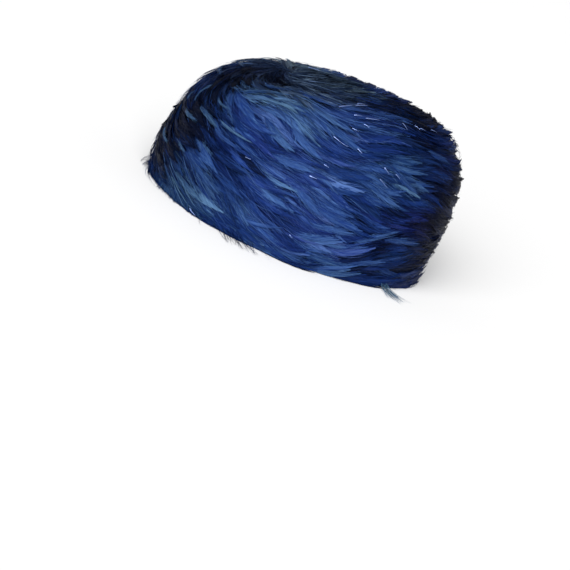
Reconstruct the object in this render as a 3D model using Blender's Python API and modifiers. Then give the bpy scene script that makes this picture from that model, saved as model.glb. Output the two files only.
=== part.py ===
"""A feather hat: a stiff hollow crown under seven rounds of feathers.

Metres, +Z up. The hat stands on its rim at z = 0, its front faces -Y and the wearer's left is +X.
The feathers swirl counter-clockwise, seen from above, out of a whorl near the front of the top.
"""

import math

import bmesh
import bpy
import numpy as np
from mathutils import Vector

# Outer form over the feathers
HAT_LENGTH = 0.242
HAT_WIDTH = 0.220
HAT_HEIGHT = 0.120
RIM_SHARE = 0.971  # size of the rim's oval against the widest oval
WIDEST_HEIGHT = 0.020
SHOULDER_POWER = 3.2  # 2 is a plain ellipse, more gives a squarer shoulder
BACK_LEAN = 0.051  # how far the crown moves back for each metre of height
LEAN_HEIGHT = 0.030  # where the leaning crown is centred front to back
TOP_SLOPE = 0.0124  # rise of the top's back edge, and fall of its front edge
WHORL_ACROSS = -0.004
WHORL_ALONG = -0.050

# Stiff crown under the feathers
FEATHER_COVER = 0.0085
BODY_WALL = 0.002
BODY_COLUMNS = 36
BODY_ROWS = 13
RIM_OVERCUT = 0.006  # the wall is made this much too long and trimmed flat at z = 0

# Feather rounds
FEATHER_THICKNESS = 0.002
SEAT_GAP = 0.0008  # from the crown to the upper edge of each round, at its corners
ROUND_RISE = 0.0045  # how much farther out the lower end of each round lies
LOCK_RELIEF = 0.0018
LOCK_ROWS = 4
LOCK_VARIATION = 0.10  # the shortest lock of a round is this much shorter than the longest
VARIATION_SEED = 7

# Each lock of feathers, from its tucked edge to the edge that lies over the next lock
#   share of its width, share of the round's length, share of the relief
LOCK_COLUMNS = (
    (0.00, 0.74, 0.0),
    (0.45, 1.00, 0.7),
    (0.86, 0.84, 1.0),
)

# Rounds from the whorl to the rim, placed as shares of the way from the whorl to the rim
#   name, upper edge, tips, number of locks, sweep in degrees
ROUNDS = (
    ("whorl_feathers", 0.00, 0.20, 12, 75.0),
    ("crown_feathers", 0.12, 0.34, 20, 48.0),
    ("shoulder_feathers", 0.27, 0.48, 26, 34.0),
    ("upper_side_feathers", 0.41, 0.62, 26, 28.0),
    ("middle_side_feathers", 0.55, 0.76, 26, 26.0),
    ("lower_side_feathers", 0.69, 0.89, 26, 26.0),
    ("rim_feathers", 0.83, 0.99, 26, 22.0),
)

# Colours, linear RGB
BODY_COLOUR = (0.010, 0.016, 0.045, 1.0)
FEATHER_COLOURS = {
    "whorl_feathers": (0.010, 0.018, 0.060, 1.0),
    "crown_feathers": (0.013, 0.026, 0.090, 1.0),
    "shoulder_feathers": (0.018, 0.045, 0.150, 1.0),
    "upper_side_feathers": (0.024, 0.060, 0.190, 1.0),
    "middle_side_feathers": (0.026, 0.064, 0.200, 1.0),
    "lower_side_feathers": (0.026, 0.060, 0.190, 1.0),
    "rim_feathers": (0.028, 0.075, 0.170, 1.0),
}

MERIDIAN_SAMPLES = 400
NORMAL_STEP = 0.002
WELD = 0.00001


def clear_scene():
    """Removes every object of the file that runs this script."""
    for item in list(bpy.data.objects):
        bpy.data.objects.remove(item, do_unlink=True)


def new_collection(name):
    """Makes a collection under the scene's own."""
    collection = bpy.data.collections.new(name)
    bpy.context.scene.collection.children.link(collection)
    return collection


def make_material(name, colour, roughness):
    """Makes a plain Principled material."""
    material = bpy.data.materials.new(name)
    material.use_nodes = True
    shader = material.node_tree.nodes["Principled BSDF"]
    shader.inputs["Base Color"].default_value = colour
    shader.inputs["Roughness"].default_value = roughness
    shader.inputs["Metallic"].default_value = 0.0
    return material


def crown_points(angle, reaches):
    """Points of the stiff crown's outer face down one meridian.

    A reach of 0 is the whorl, 1 is the widest line and 2 is the rim at z = 0.
    """
    half_width = HAT_WIDTH / 2 - FEATHER_COVER
    half_length = HAT_LENGTH / 2 - FEATHER_COVER
    height = HAT_HEIGHT - FEATHER_COVER
    edge_x = half_width * math.cos(angle)
    edge_y = half_length * math.sin(angle)

    # Over the top: a straight line in plan, denser towards the steep shoulder
    over_top = 1 - (1 - np.clip(reaches, 0, 1)) ** SHOULDER_POWER
    x = WHORL_ACROSS + over_top * (edge_x - WHORL_ACROSS)
    y = WHORL_ALONG + over_top * (edge_y - WHORL_ALONG)
    spread = np.sqrt((x / half_width) ** 2 + (y / half_length) ** 2)
    dome = np.clip(1 - spread**SHOULDER_POWER, 0, 1) ** (1 / SHOULDER_POWER)
    z = WIDEST_HEIGHT + (height - WIDEST_HEIGHT) * dome

    # Down the side: the oval draws in again towards the rim
    below = np.clip(reaches - 1, 0, None)
    side_share = RIM_SHARE + (1 - RIM_SHARE) * np.cos(below * math.pi / 2)
    x = np.where(reaches > 1, edge_x * side_share, x)
    y = np.where(reaches > 1, edge_y * side_share, y)
    z = np.where(reaches > 1, WIDEST_HEIGHT * (1 - below), z)

    sloped_z = z + TOP_SLOPE * y / half_length * z / height
    leaned_y = y + BACK_LEAN * (z - LEAN_HEIGHT)
    return np.stack([x, leaned_y, sloped_z], axis=1)


def crown_point(angle, way):
    """Point at a share of the true length of a meridian, past 1 where the wall runs on below."""
    reaches = np.linspace(0, 2, MERIDIAN_SAMPLES)
    points = crown_points(angle, reaches)
    steps = np.linalg.norm(np.diff(points, axis=0), axis=1)
    lengths = np.concatenate([[0.0], np.cumsum(steps)])
    reach = np.interp(min(way, 1.0) * lengths[-1], lengths, reaches)
    point = Vector(crown_points(angle, np.array([reach]))[0])
    if way > 1:
        point.z -= (way - 1) * lengths[-1]
    return point


def crown_normal(angle, way):
    """Outward normal of the crown's outer face."""
    around = crown_point(angle + NORMAL_STEP, way) - crown_point(angle - NORMAL_STEP, way)
    upward = crown_point(angle, max(way - NORMAL_STEP, 0)) - crown_point(angle, way + NORMAL_STEP)
    return around.cross(upward).normalized()


def whorl_normal():
    """Outward normal where all meridians meet."""
    total = Vector((0, 0, 0))
    for step in range(BODY_COLUMNS):
        total += crown_normal(2 * math.pi * step / BODY_COLUMNS, NORMAL_STEP)
    return total.normalized()


def sheet_object(name, columns, rows, place, collection, material):
    """Wraps a grid round the hat as an open sheet whose faces point out.

    place(column, row) gives a vertex. Row 0 is the upper edge, and the last column closes on the
    first.
    """
    mesh = bpy.data.meshes.new(name)
    sheet = bmesh.new()
    half_grid = 0.5
    bmesh.ops.create_grid(sheet, x_segments=columns, y_segments=rows, size=half_grid)
    for vertex in sheet.verts:
        column = round((half_grid + vertex.co.x) * columns)
        row = round((half_grid - vertex.co.y) * rows)
        vertex.co = place(column % columns, row)
    bmesh.ops.remove_doubles(sheet, verts=sheet.verts, dist=WELD)
    sheet.to_mesh(mesh)
    sheet.free()
    mesh.shade_smooth()
    mesh.materials.append(material)
    piece = bpy.data.objects.new(name, mesh)
    collection.objects.link(piece)
    return piece


def thicken(piece, thickness, side):
    """Gives a sheet its wall, outwards for a side of 1 and inwards for -1."""
    wall = piece.modifiers.new("wall", "SOLIDIFY")
    wall.thickness = thickness
    wall.offset = side
    wall.use_even_offset = False
    wall.use_rim = True


def build_body(collection, cutters):
    """The stiff hollow crown, open below, with its rim trimmed flat."""
    top = crown_point(0, 0)

    def place(column, row):
        if row == 0:
            return top
        angle = 2 * math.pi * column / BODY_COLUMNS
        if row == BODY_ROWS:
            end = crown_point(angle, 1)
            end.z -= RIM_OVERCUT
            return end
        return crown_point(angle, row / (BODY_ROWS - 1))

    material = make_material("stiff_crown", BODY_COLOUR, 0.9)
    body = sheet_object("hat_body", BODY_COLUMNS, BODY_ROWS, place, collection, material)
    thicken(body, BODY_WALL, -1)

    trim_mesh = bpy.data.meshes.new("rim_trim")
    trim_shape = bmesh.new()
    bmesh.ops.create_cube(trim_shape, size=1)
    trim_depth = 4 * RIM_OVERCUT
    size = Vector((2 * HAT_WIDTH, 2 * HAT_LENGTH, trim_depth))
    bmesh.ops.scale(trim_shape, vec=size, verts=trim_shape.verts)
    bmesh.ops.translate(trim_shape, vec=Vector((0, 0, -trim_depth / 2)), verts=trim_shape.verts)
    trim_shape.to_mesh(trim_mesh)
    trim_shape.free()
    trim = bpy.data.objects.new("rim_trim", trim_mesh)
    trim.hide_render = True
    trim.display_type = "WIRE"
    cutters.objects.link(trim)
    cut = body.modifiers.new("flat_rim", "BOOLEAN")
    cut.operation = "DIFFERENCE"
    cut.solver = "EXACT"
    cut.object = trim
    return body


def build_round(name, upper_edge, tips, locks, sweep, collection):
    """One round of feathers: a backing ring whose lower edge is cut into swept, pointed locks."""
    columns = locks * len(LOCK_COLUMNS)
    whorl_top = crown_point(0, 0) + whorl_normal() * SEAT_GAP
    variation = np.random.default_rng(VARIATION_SEED + locks)
    lock_lengths = variation.uniform(1 - LOCK_VARIATION, 1, locks)

    def place(column, row):
        lock, part_of_lock = divmod(column, len(LOCK_COLUMNS))
        across, length_share, relief_share = LOCK_COLUMNS[part_of_lock]
        if across > 0:
            length_share *= lock_lengths[lock]
        down = length_share * row / LOCK_ROWS
        way = upper_edge + (tips - upper_edge) * down
        if way == 0:
            return whorl_top
        turn = (lock + across) / locks
        angle = 2 * math.pi * turn + math.radians(sweep) * down
        lift = SEAT_GAP + ROUND_RISE * down + LOCK_RELIEF * relief_share * down
        return crown_point(angle, way) + crown_normal(angle, way) * lift

    material = make_material(name, FEATHER_COLOURS[name], 0.45)
    feathers = sheet_object(name, columns, LOCK_ROWS, place, collection, material)
    thicken(feathers, FEATHER_THICKNESS, 1)
    return feathers


def build_hat():
    """Builds every piece in its place."""
    clear_scene()
    pieces = new_collection("feather_hat")
    cutters = new_collection("cutters")
    build_body(pieces, cutters)
    for name, upper_edge, tips, locks, sweep in ROUNDS:
        build_round(name, upper_edge, tips, locks, sweep, pieces)


build_hat()
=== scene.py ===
"""Looks of a feather hat: a stiff hollow crown under overlapping rounds of swirling feathers.

Metres, +Z up. The hat stands on its rim at z = 0, its front faces -Y and the wearer's left is +X.
Angles run counter-clockwise seen from above, from 0 at the wearer's left. A way is a share of the
line that runs from the whorl on the top over the shoulder and down to the rim.
"""

from __future__ import annotations

import logging
import math
from dataclasses import dataclass, field, fields, replace
from enum import Enum
from typing import Callable, Iterable

import bmesh
import bpy
import numpy as np
from mathutils import Matrix, Vector


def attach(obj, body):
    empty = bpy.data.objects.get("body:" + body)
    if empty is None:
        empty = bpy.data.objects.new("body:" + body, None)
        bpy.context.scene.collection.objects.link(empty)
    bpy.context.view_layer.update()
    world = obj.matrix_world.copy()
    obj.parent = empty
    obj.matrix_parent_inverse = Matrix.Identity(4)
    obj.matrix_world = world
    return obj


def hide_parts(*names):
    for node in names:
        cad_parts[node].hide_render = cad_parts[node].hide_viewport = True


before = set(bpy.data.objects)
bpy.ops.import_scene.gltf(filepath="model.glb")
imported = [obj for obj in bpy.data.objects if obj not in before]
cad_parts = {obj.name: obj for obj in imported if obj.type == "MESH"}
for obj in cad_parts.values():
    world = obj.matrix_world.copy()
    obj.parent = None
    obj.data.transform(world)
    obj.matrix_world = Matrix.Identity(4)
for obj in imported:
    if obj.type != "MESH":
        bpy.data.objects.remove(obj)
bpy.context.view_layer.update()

LOG = logging.getLogger("feather_hat")
BODY = "root"
SIDE_SLOT = "side_feathers"
TOP_SLOT = "top_feathers"
MILLIMETRE = 0.001
FULL_TURN = 2.0 * math.pi
TINY = 1e-12
ROUND_SEED = 100
RIM_ZONE = (0.70, 1.00)  # ways over which the lift of the rim comes in
FEATHER_MAP = "FeatherMap"
BAKE_MAP = "OFBake"
TONE_ATTRIBUTE = "FeatherTone"

Array = np.ndarray
Draw = np.random.Generator
Pair = tuple[float, float]
Colour = tuple[float, float, float, float]
Materials = Iterable[bpy.types.Material]


def smooth_rise(value: Array, start: float, end: float) -> Array:
    """Rises smoothly from 0 at the start to 1 at the end."""
    share = np.clip((value - start) / (end - start), 0.0, 1.0)
    return share * share * (3.0 - 2.0 * share)


def bell(value: Array, middle: float, spread: float) -> Array:
    """A bell curve of height 1 round a middle value."""
    return np.exp(-(((value - middle) / spread) ** 2))


def near_rim(way: Array) -> Array:
    """How near a way is to the rim, from 0 on the side to 1 at the rim."""
    return smooth_rise(way, *RIM_ZONE)


def turn_between(angle: Array, middle_deg: float) -> Array:
    """Signed turn in degrees from a middle direction to each angle."""
    turned = angle - math.radians(middle_deg)
    return np.degrees(np.arctan2(np.sin(turned), np.cos(turned)))


def unit(vectors: Array) -> Array:
    """Vectors of length 1 along the given ones."""
    return vectors / np.maximum(np.linalg.norm(vectors, axis=-1, keepdims=True), TINY)


def stacked(*values: Array) -> Array:
    """Brings values to one shape and stacks them along a new last axis."""
    return np.stack(np.broadcast_arrays(*values), axis=-1)


def facing(azimuth_deg: float, elevation_deg: float) -> Vector:
    """Direction out of the hat at an azimuth from its front and an elevation."""
    turn, rise = math.radians(azimuth_deg), math.radians(elevation_deg)
    return Vector((math.sin(turn) * math.cos(rise), -math.cos(turn) * math.cos(rise), math.sin(rise)))


# Modelling by operators


def deselect_all() -> None:
    """Deselects every object, so that an operator acts on the new piece alone."""
    bpy.ops.object.select_all(action="DESELECT")


def open_shape(name: str) -> bpy.types.Object:
    """Names the primitive that was just added, opens it in edit mode and selects it all.

    Args:
        name: the primitive's new name.

    Returns:
        The open shape.
    """
    shape = bpy.context.object
    shape.name = name
    shape.data.name = name
    bpy.ops.object.mode_set(mode="EDIT")
    bpy.ops.mesh.select_all(action="SELECT")
    return shape


def close_shape() -> None:
    """Leaves edit mode."""
    bpy.ops.object.mode_set(mode="OBJECT")


def select_points(shape: bpy.types.Object, chosen: Callable[[Vector], bool]) -> None:
    """Selects the vertices of a shape that is open in edit mode.

    Args:
        shape: the open shape.
        chosen: tells for a vertex's place whether it is selected.
    """
    mesh = bmesh.from_edit_mesh(shape.data)
    for part in (*mesh.faces, *mesh.edges, *mesh.verts):
        part.select = False
    for vertex in mesh.verts:
        vertex.select = chosen(vertex.co)
    mesh.select_flush_mode()
    mesh.select_flush(True)
    bmesh.update_edit_mesh(shape.data)


def grow(rise: Vector, widen: Pair, middle: Vector) -> None:
    """Extrudes the selected outline and resizes the new one about its middle.

    Args:
        rise: the way from the old outline to the new one.
        widen: size of the new outline along X and Y, against the old one.
        middle: centre of the new outline.
    """
    bpy.ops.mesh.extrude_region_move(TRANSFORM_OT_translate={"value": rise})
    bpy.ops.transform.resize(value=(widen[0], widen[1], 1.0), center_override=middle)


def face_out() -> None:
    """Points the faces of the open shape outwards."""
    bpy.ops.mesh.select_all(action="SELECT")
    bpy.ops.mesh.normals_make_consistent(inside=False)


@dataclass
class Pattern:
    """A small shape that is modelled once and copied many times.

    Each vertex has a share of the half-width across, a share of the length along and a height in
    half-widths. The map is the vertex's place on its own barb, and the tone is the barb's own, with
    painted shade on the closed vane towards its edges and its root.
    """

    across: Array
    along: Array
    height: Array
    map_across: Array
    map_along: Array
    tone: Array
    corners: Array  # vertex of each face corner, face after face
    face_sizes: Array
    face_material: Array

    @classmethod
    def from_shape(cls, shape: bpy.types.Object, material: int = 0) -> Pattern:
        """Reads a modelled shape and removes it from the scene.

        Args:
            shape: a shape whose X runs across, Y along and Z outwards.
            material: index of the material that its faces take.

        Returns:
            The pattern.
        """
        mesh = shape.data
        across, along, height = np.array([vertex.co for vertex in mesh.vertices], float).T
        corners = np.array([corner.vertex_index for corner in mesh.loops], int)
        sizes = np.array([face.loop_total for face in mesh.polygons], int)
        bpy.data.objects.remove(shape, do_unlink=True)
        bpy.data.meshes.remove(mesh)
        tone = np.zeros(len(across))
        materials = np.full(len(sizes), material, int)
        return cls(across, along, height, across + 0.5, along, tone, corners, sizes, materials)

    @classmethod
    def joined(cls, parts: list[Pattern]) -> Pattern:
        """Joins patterns into one, which keeps each part's vertices apart.

        Args:
            parts: the patterns.

        Returns:
            The joined pattern.
        """
        starts = np.cumsum([0] + [len(part.across) for part in parts[:-1]])
        moved = [replace(part, corners=part.corners + start) for part, start in zip(parts, starts)]
        return cls(*(np.concatenate([getattr(part, key.name) for part in moved]) for key in fields(cls)))


# The form under the feathers


@dataclass
class HatForm:
    """The outer face of the stiff crown, read by angle and way."""

    half_width: float = 0.1015
    half_length: float = 0.1125
    height: float = 0.1115
    widest_height: float = 0.020
    rim_share: float = 0.971
    shoulder_power: float = 3.2
    back_lean: float = 0.051
    lean_height: float = 0.030
    top_slope: float = 0.0124
    whorl_across: float = -0.004
    whorl_along: float = -0.050
    columns: int = 180
    rows: int = 150
    overrun: float = 0.08  # how far the rows run on below the rim, as a share of the way
    meridian_samples: int = 500

    def __post_init__(self) -> None:
        """Works out the tables of points, normals and slopes."""
        self.last_way = 1.0 + self.overrun
        ways = np.linspace(0.0, self.last_way, self.rows)
        angles = np.linspace(0.0, FULL_TURN, self.columns + 1)
        table = np.stack([self._meridian(angle, ways) for angle in angles])
        wrapped = np.concatenate([table[-3:-1], table, table[1:3]])
        by_angle = np.gradient(wrapped, angles[1], axis=0)[2:-2]
        by_way = np.gradient(table, ways[1], axis=1)
        outward = unit(np.cross(by_angle, -by_way))
        outward[:, 0] = unit(outward[:-1, 1].mean(axis=0))
        self.tables = np.concatenate([table, outward, by_angle, by_way], axis=2)

    def _meridian(self, angle: float, ways: Array) -> Array:
        """Points down one meridian.

        Args:
            angle: the meridian's angle.
            ways: shares of its true length, past 1 straight down from the rim.

        Returns:
            The points.
        """
        reaches = np.linspace(0.0, 2.0, self.meridian_samples)
        steps = np.linalg.norm(np.diff(self._points(angle, reaches), axis=0), axis=1)
        lengths = np.concatenate([[0.0], np.cumsum(steps)])
        wanted = np.minimum(ways, 1.0) * lengths[-1]
        found = self._points(angle, np.interp(wanted, lengths, reaches))
        found[:, 2] -= np.clip(ways - 1.0, 0.0, None) * lengths[-1]
        return found

    def _points(self, angle: float, reaches: Array) -> Array:
        """Points down one meridian by their reaches.

        Args:
            angle: the meridian's angle.
            reaches: from 0 at the whorl over 1 at the widest line to 2 at the rim.

        Returns:
            The points.
        """
        edge_x = self.half_width * math.cos(angle)
        edge_y = self.half_length * math.sin(angle)
        over_top = 1.0 - (1.0 - np.clip(reaches, 0.0, 1.0)) ** self.shoulder_power
        x = self.whorl_across + over_top * (edge_x - self.whorl_across)
        y = self.whorl_along + over_top * (edge_y - self.whorl_along)
        spread = np.hypot(x / self.half_width, y / self.half_length)
        dome = np.clip(1.0 - spread**self.shoulder_power, 0.0, 1.0) ** (1.0 / self.shoulder_power)
        z = self.widest_height + (self.height - self.widest_height) * dome

        below = np.clip(reaches - 1.0, 0.0, None)
        side_share = self.side_share(below)
        x = np.where(reaches > 1.0, edge_x * side_share, x)
        y = np.where(reaches > 1.0, edge_y * side_share, y)
        z = np.where(reaches > 1.0, self.widest_height * (1.0 - below), z)
        return self.sloped_and_leaned(np.stack([x, y, z], axis=1))

    def side_share(self, below: Array) -> Array:
        """Size of the oval against the widest, from 0 at the widest line down to 1 at the rim."""
        return self.rim_share + (1.0 - self.rim_share) * np.cos(below * math.pi / 2)

    def sloped_and_leaned(self, points: Array) -> Array:
        """Tips the top up towards the back and leans the crown back.

        Args:
            points: points of the upright form.

        Returns:
            Points of the real one.
        """
        x, y, z = points.T
        sloped = z + self.top_slope * y / self.half_length * z / self.height
        leaned = y + self.back_lean * (z - self.lean_height)
        return np.stack([x, leaned, sloped], axis=1)

    def read(self, angle: Array, way: Array) -> tuple[Array, Array, Array, Array]:
        """Reads the face.

        Args:
            angle: angles in radians.
            way: shares of the way from the whorl to the rim.

        Returns:
            Points, outward normals, and slopes by angle and by way.
        """
        column = np.mod(angle, FULL_TURN) / FULL_TURN * self.columns
        row = np.clip(way / self.last_way, 0.0, 1.0) * (self.rows - 1)
        left = np.minimum(column.astype(int), self.columns - 1)
        upper = np.minimum(row.astype(int), self.rows - 2)
        aside = (column - left)[..., None]
        down = (row - upper)[..., None]
        above, under = (
            self.tables[left, level] * (1 - aside) + self.tables[left + 1, level] * aside
            for level in (upper, upper + 1)
        )
        found = above * (1 - down) + under * down
        return found[..., 0:3], unit(found[..., 3:6]), found[..., 6:9], found[..., 9:12]


@dataclass
class SoftNoise:
    """A smooth random value over space, about -1 to 1, made of a few waves."""

    wavelength: float
    seed: int
    waves: int = 14
    rate_range: Pair = (0.5, 1.5)  # rates of the waves against the usual one

    def __post_init__(self) -> None:
        """Draws the waves."""
        draw = np.random.default_rng(self.seed)
        directions = unit(draw.normal(size=(self.waves, 3)))
        rates = FULL_TURN / self.wavelength * draw.uniform(*self.rate_range, self.waves)
        self.rates = directions * rates[:, None]
        self.starts = draw.uniform(0.0, FULL_TURN, self.waves)

    def at(self, points: Array) -> Array:
        """The value at each point."""
        return np.sin(points @ self.rates.T + self.starts).sum(axis=-1) / math.sqrt(self.waves / 2.0)


@dataclass(frozen=True)
class HatPatch:
    """A patch of the hat with soft edges, placed by its middle and its half-sizes."""

    angle_deg: float
    way: float
    half_angle_deg: float
    half_way: float
    change: float = 0.0  # of the lay in degrees, of the tone, or of the lift in millimetres
    hue: float = 0.0  # above 0 towards teal, below 0 towards violet

    def strength(self, angle: Array, way: Array) -> Array:
        """How strongly the patch counts at each place."""
        aside = bell(turn_between(angle, self.angle_deg), 0.0, self.half_angle_deg)
        return aside * bell(way, self.way, self.half_way)


def patches(*rows: tuple[float, ...]) -> tuple[HatPatch, ...]:
    """Patches from rows of their values."""
    return tuple(HatPatch(*row) for row in rows)


# Where the feathers sweep flatter, or fall more steeply where the change is below 0:
# angle, way, half-angle, half-way and change in degrees
LAY_PATCHES = patches(
    (-62, 0.32, 26, 0.13, 36),
    (-74, 0.31, 13, 0.07, 28),
    (-102, 0.22, 24, 0.09, 16),
    (-40, 0.22, 14, 0.06, 22),
    (-56, 0.37, 15, 0.05, 16),
    (-24, 0.40, 11, 0.08, -16),
    (-8, 0.36, 11, 0.07, 12),
    (-80, 0.52, 18, 0.08, 14),
    (-93, 0.80, 18, 0.12, -14),
    (34, 0.42, 18, 0.08, -24),
    (75, 0.24, 36, 0.10, -18),
    (-42, 0.56, 11, 0.08, 14),
    (-16, 0.56, 12, 0.07, 12),
    (8, 0.48, 14, 0.12, 17),
    (-42, 0.88, 30, 0.10, -18),
    (-51, 0.80, 10, 0.08, -12),
    (3, 0.84, 10, 0.06, 22),
    (34, 0.70, 9, 0.10, -10),
    (18, 0.72, 11, 0.06, 12),
    (152, 0.16, 42, 0.13, -85),
    (104, 0.20, 24, 0.10, -20),
)

# Where the feathers are coloured lighter or darker, partly for their dye and partly as painted shade,
# painted sheen and painted rim light, and where they are dyed another hue:
# angle, way, half-angle, half-way, change of tone and of hue
COLOUR_PATCHES = patches(
    (-32, 0.66, 28, 0.18, 0.08, -0.08),
    # these two rows: the pale patch on the shoulder, lighter dye with painted sheen on it
    (-46, 0.37, 22, 0.10, 0.35, 0.25),
    (-64, 0.32, 15, 0.045, 0.24, 0.40),
    (-22, 0.88, 16, 0.07, 0.10, -0.10),
    (-64, 0.84, 15, 0.11, 0.12, 0.45),
    # this row and those at angles 38 and 84: darker sides, partly dye and partly painted shade
    (-91, 0.52, 18, 0.17, -0.58, 0.40),
    (-110, 0.78, 22, 0.25, -0.40, 0.40),
    (-72, 0.93, 16, 0.08, 0.22, 0.60),
    (38, 0.58, 24, 0.26, -0.44, 0.08),
    (84, 0.55, 30, 0.50, -0.34, 0.05),
    (16, 0.74, 13, 0.06, -0.18, -1.00),
    (6, 0.38, 22, 0.07, 0.08, -0.05),
    (-88, 0.36, 12, 0.07, -0.30, 0.25),
    (-72, 0.67, 8, 0.05, 0.22, 0.15),
    # painted shade in the dimple's hollow near the whorl
    (-63, 0.13, 24, 0.05, -0.50, 0),
    (4, 0.60, 9, 0.05, 0.42, 0.25),
    (6, 0.90, 26, 0.09, -0.08, 0.05),
    (40, 0.95, 16, 0.10, -0.18, -0.15),
    # painted shade on the dark band across the top
    (10, 0.17, 40, 0.06, -0.10, 0.10),
    (-100, 0.28, 28, 0.06, -0.30, 0),
    # painted rim light along the far edge of the top
    (160, 0.20, 50, 0.09, 0.20, 0.60),
    (-104, 0.20, 16, 0.06, -0.45, 0),
    (150, 0.62, 26, 0.14, 0.16, 0.15),
    (-150, 0.75, 24, 0.12, 0.10, -0.30),
    (-15, 0.66, 7, 0.06, -0.54, 0.05),
    (-11, 0.78, 8, 0.04, -0.26, 0),
    (-60, 0.70, 9, 0.06, -0.50, 0.05),
    (-48, 0.83, 8, 0.05, -0.16, 0),
    (5, 0.53, 8, 0.04, 0.14, 0.10),
    (60, 0.18, 55, 0.08, 0.40, 0.30),
    (18, 0.33, 10, 0.05, 0.30, 0),
    (33, 0.78, 12, 0.16, -0.34, -0.10),
    (2, 0.81, 8, 0.04, -0.16, 0),
    (-37, 0.48, 7, 0.06, -0.26, 0),
    (-44, 0.65, 7, 0.06, 0.32, 0),
    (-22, 0.95, 9, 0.05, 0.16, 0),
    (-2, 0.70, 6, 0.04, 0.22, 0),
    (62, 0.37, 26, 0.08, -0.26, 0.30),
    (94, 0.31, 24, 0.08, -0.26, 0.50),
    (22, 0.43, 12, 0.06, -0.22, 0.10),
    (-54, 0.58, 7, 0.05, -0.16, 0),
    (-51, 0.30, 8, 0.04, 0.16, 0),
    (-37, 0.97, 8, 0.04, 0.36, 0.10),
    (-86, 0.43, 7, 0.04, 0.14, 0.10),
    (-91, 0.79, 8, 0.05, -0.28, 0),
)

# Where the feathers lie higher, or lower where the change is below 0:
# angle, way, half-angle, half-way and change in millimetres
LIFT_PATCHES = patches(
    (102, 0.36, 34, 0.13, -5.8),
    (-108, 0.62, 22, 0.09, -5.5),
    (-127, 0.45, 16, 0.08, -3.0),
    (66, 0.54, 14, 0.08, 3.2),
    (52, 1.00, 18, 0.10, 2.4),
    (-48, 1.00, 44, 0.12, -3.8),
    (-116, 0.82, 16, 0.12, -1.4),
    (-102, 1.00, 18, 0.05, -1.4),
    (134, 0.34, 26, 0.12, -5.0),
    (165, 0.28, 30, 0.12, -1.0),
    (-76, 1.00, 18, 0.10, -3.0),
)

RAGGED_PATCH = HatPatch(104.0, 0.32, 44.0, 0.14)  # where more tips stand off the rest


def patched_lift(angle: Array, way: Array) -> Array:
    """Change of the feathers' lift at each place."""
    return MILLIMETRE * sum(patch.change * patch.strength(angle, way) for patch in LIFT_PATCHES)


@dataclass
class Shafts:
    """Lines that feathers follow: one row a shaft, one column a point on it."""

    points: Array
    across: Array
    outward: Array
    places: Array  # angle and way of each point
    asides: Array  # change of angle and way for each metre across

    @property
    def count(self) -> int:
        """How many shafts there are."""
        return len(self.points)

    def lifted(self, lift: Array) -> Shafts:
        """Raises the shafts off the face and turns their cross directions with them.

        Args:
            lift: height of each point of each shaft over the face.

        Returns:
            The raised shafts.
        """
        points = self.points + self.outward * lift[..., None]
        heading = unit(np.gradient(points, axis=1))
        across = unit(np.cross(self.outward, heading))
        return replace(self, points=points, across=across, outward=unit(np.cross(heading, across)))

    def chosen(self, rows: Array) -> Shafts:
        """Some of the shafts, by number."""
        return Shafts(*(getattr(self, key.name)[rows] for key in fields(self)))

    def _between(self, rows: Array | slice, low: Array, part: Array) -> list[Array]:
        """Points, cross directions and outward directions between two samples."""
        lines = (self.points, self.across, self.outward)
        return [line[rows, low] * (1.0 - part) + line[rows, low + 1] * part for line in lines]

    def stretches(self, rows: Array, start: Array, end: Array, samples: int) -> Shafts:
        """Cuts a stretch out of each named shaft.

        Args:
            rows: number of the shaft that each stretch is cut from.
            start: where each stretch starts, as a share of the shaft.
            end: where it ends, which may lie a little past the shaft's tip.
            samples: points on each stretch.

        Returns:
            The stretches.
        """
        last = self.points.shape[1] - 1
        share = np.linspace(0.0, 1.0, samples)[None, :]
        place = (start[:, None] + (end - start)[:, None] * share) * last
        low = np.clip(place.astype(int), 0, last - 1)
        row = rows[:, None]
        read = self._between(row, low, (place - low)[..., None])
        return Shafts(*read, self.places[row, low], self.asides[row, low])

    def at(self, along: Array) -> tuple[Array, Array, Array]:
        """Reads every shaft at the same shares of its length.

        Args:
            along: the shares, which may lie a little past 1.

        Returns:
            Points, cross directions and outward directions.
        """
        last = self.points.shape[1] - 1
        place = np.clip(along, 0.0, 1.0) * last
        low = np.minimum(place.astype(int), last - 1)
        points, across, outward = self._between(slice(None), low, (place - low)[None, :, None])
        over = (np.clip(along, 1.0, None) - 1.0)[None, :, None] * last
        return points + (self.points[:, -1:] - self.points[:, -2:-1]) * over, across, outward


@dataclass
class Vanes:
    """Shafts with the width, set and colour of what is laid along them."""

    shafts: Shafts
    half_width: Array
    roll: Array  # how far each lower edge stands out, against the half-width
    colour: Array  # tone and hue of each


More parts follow.
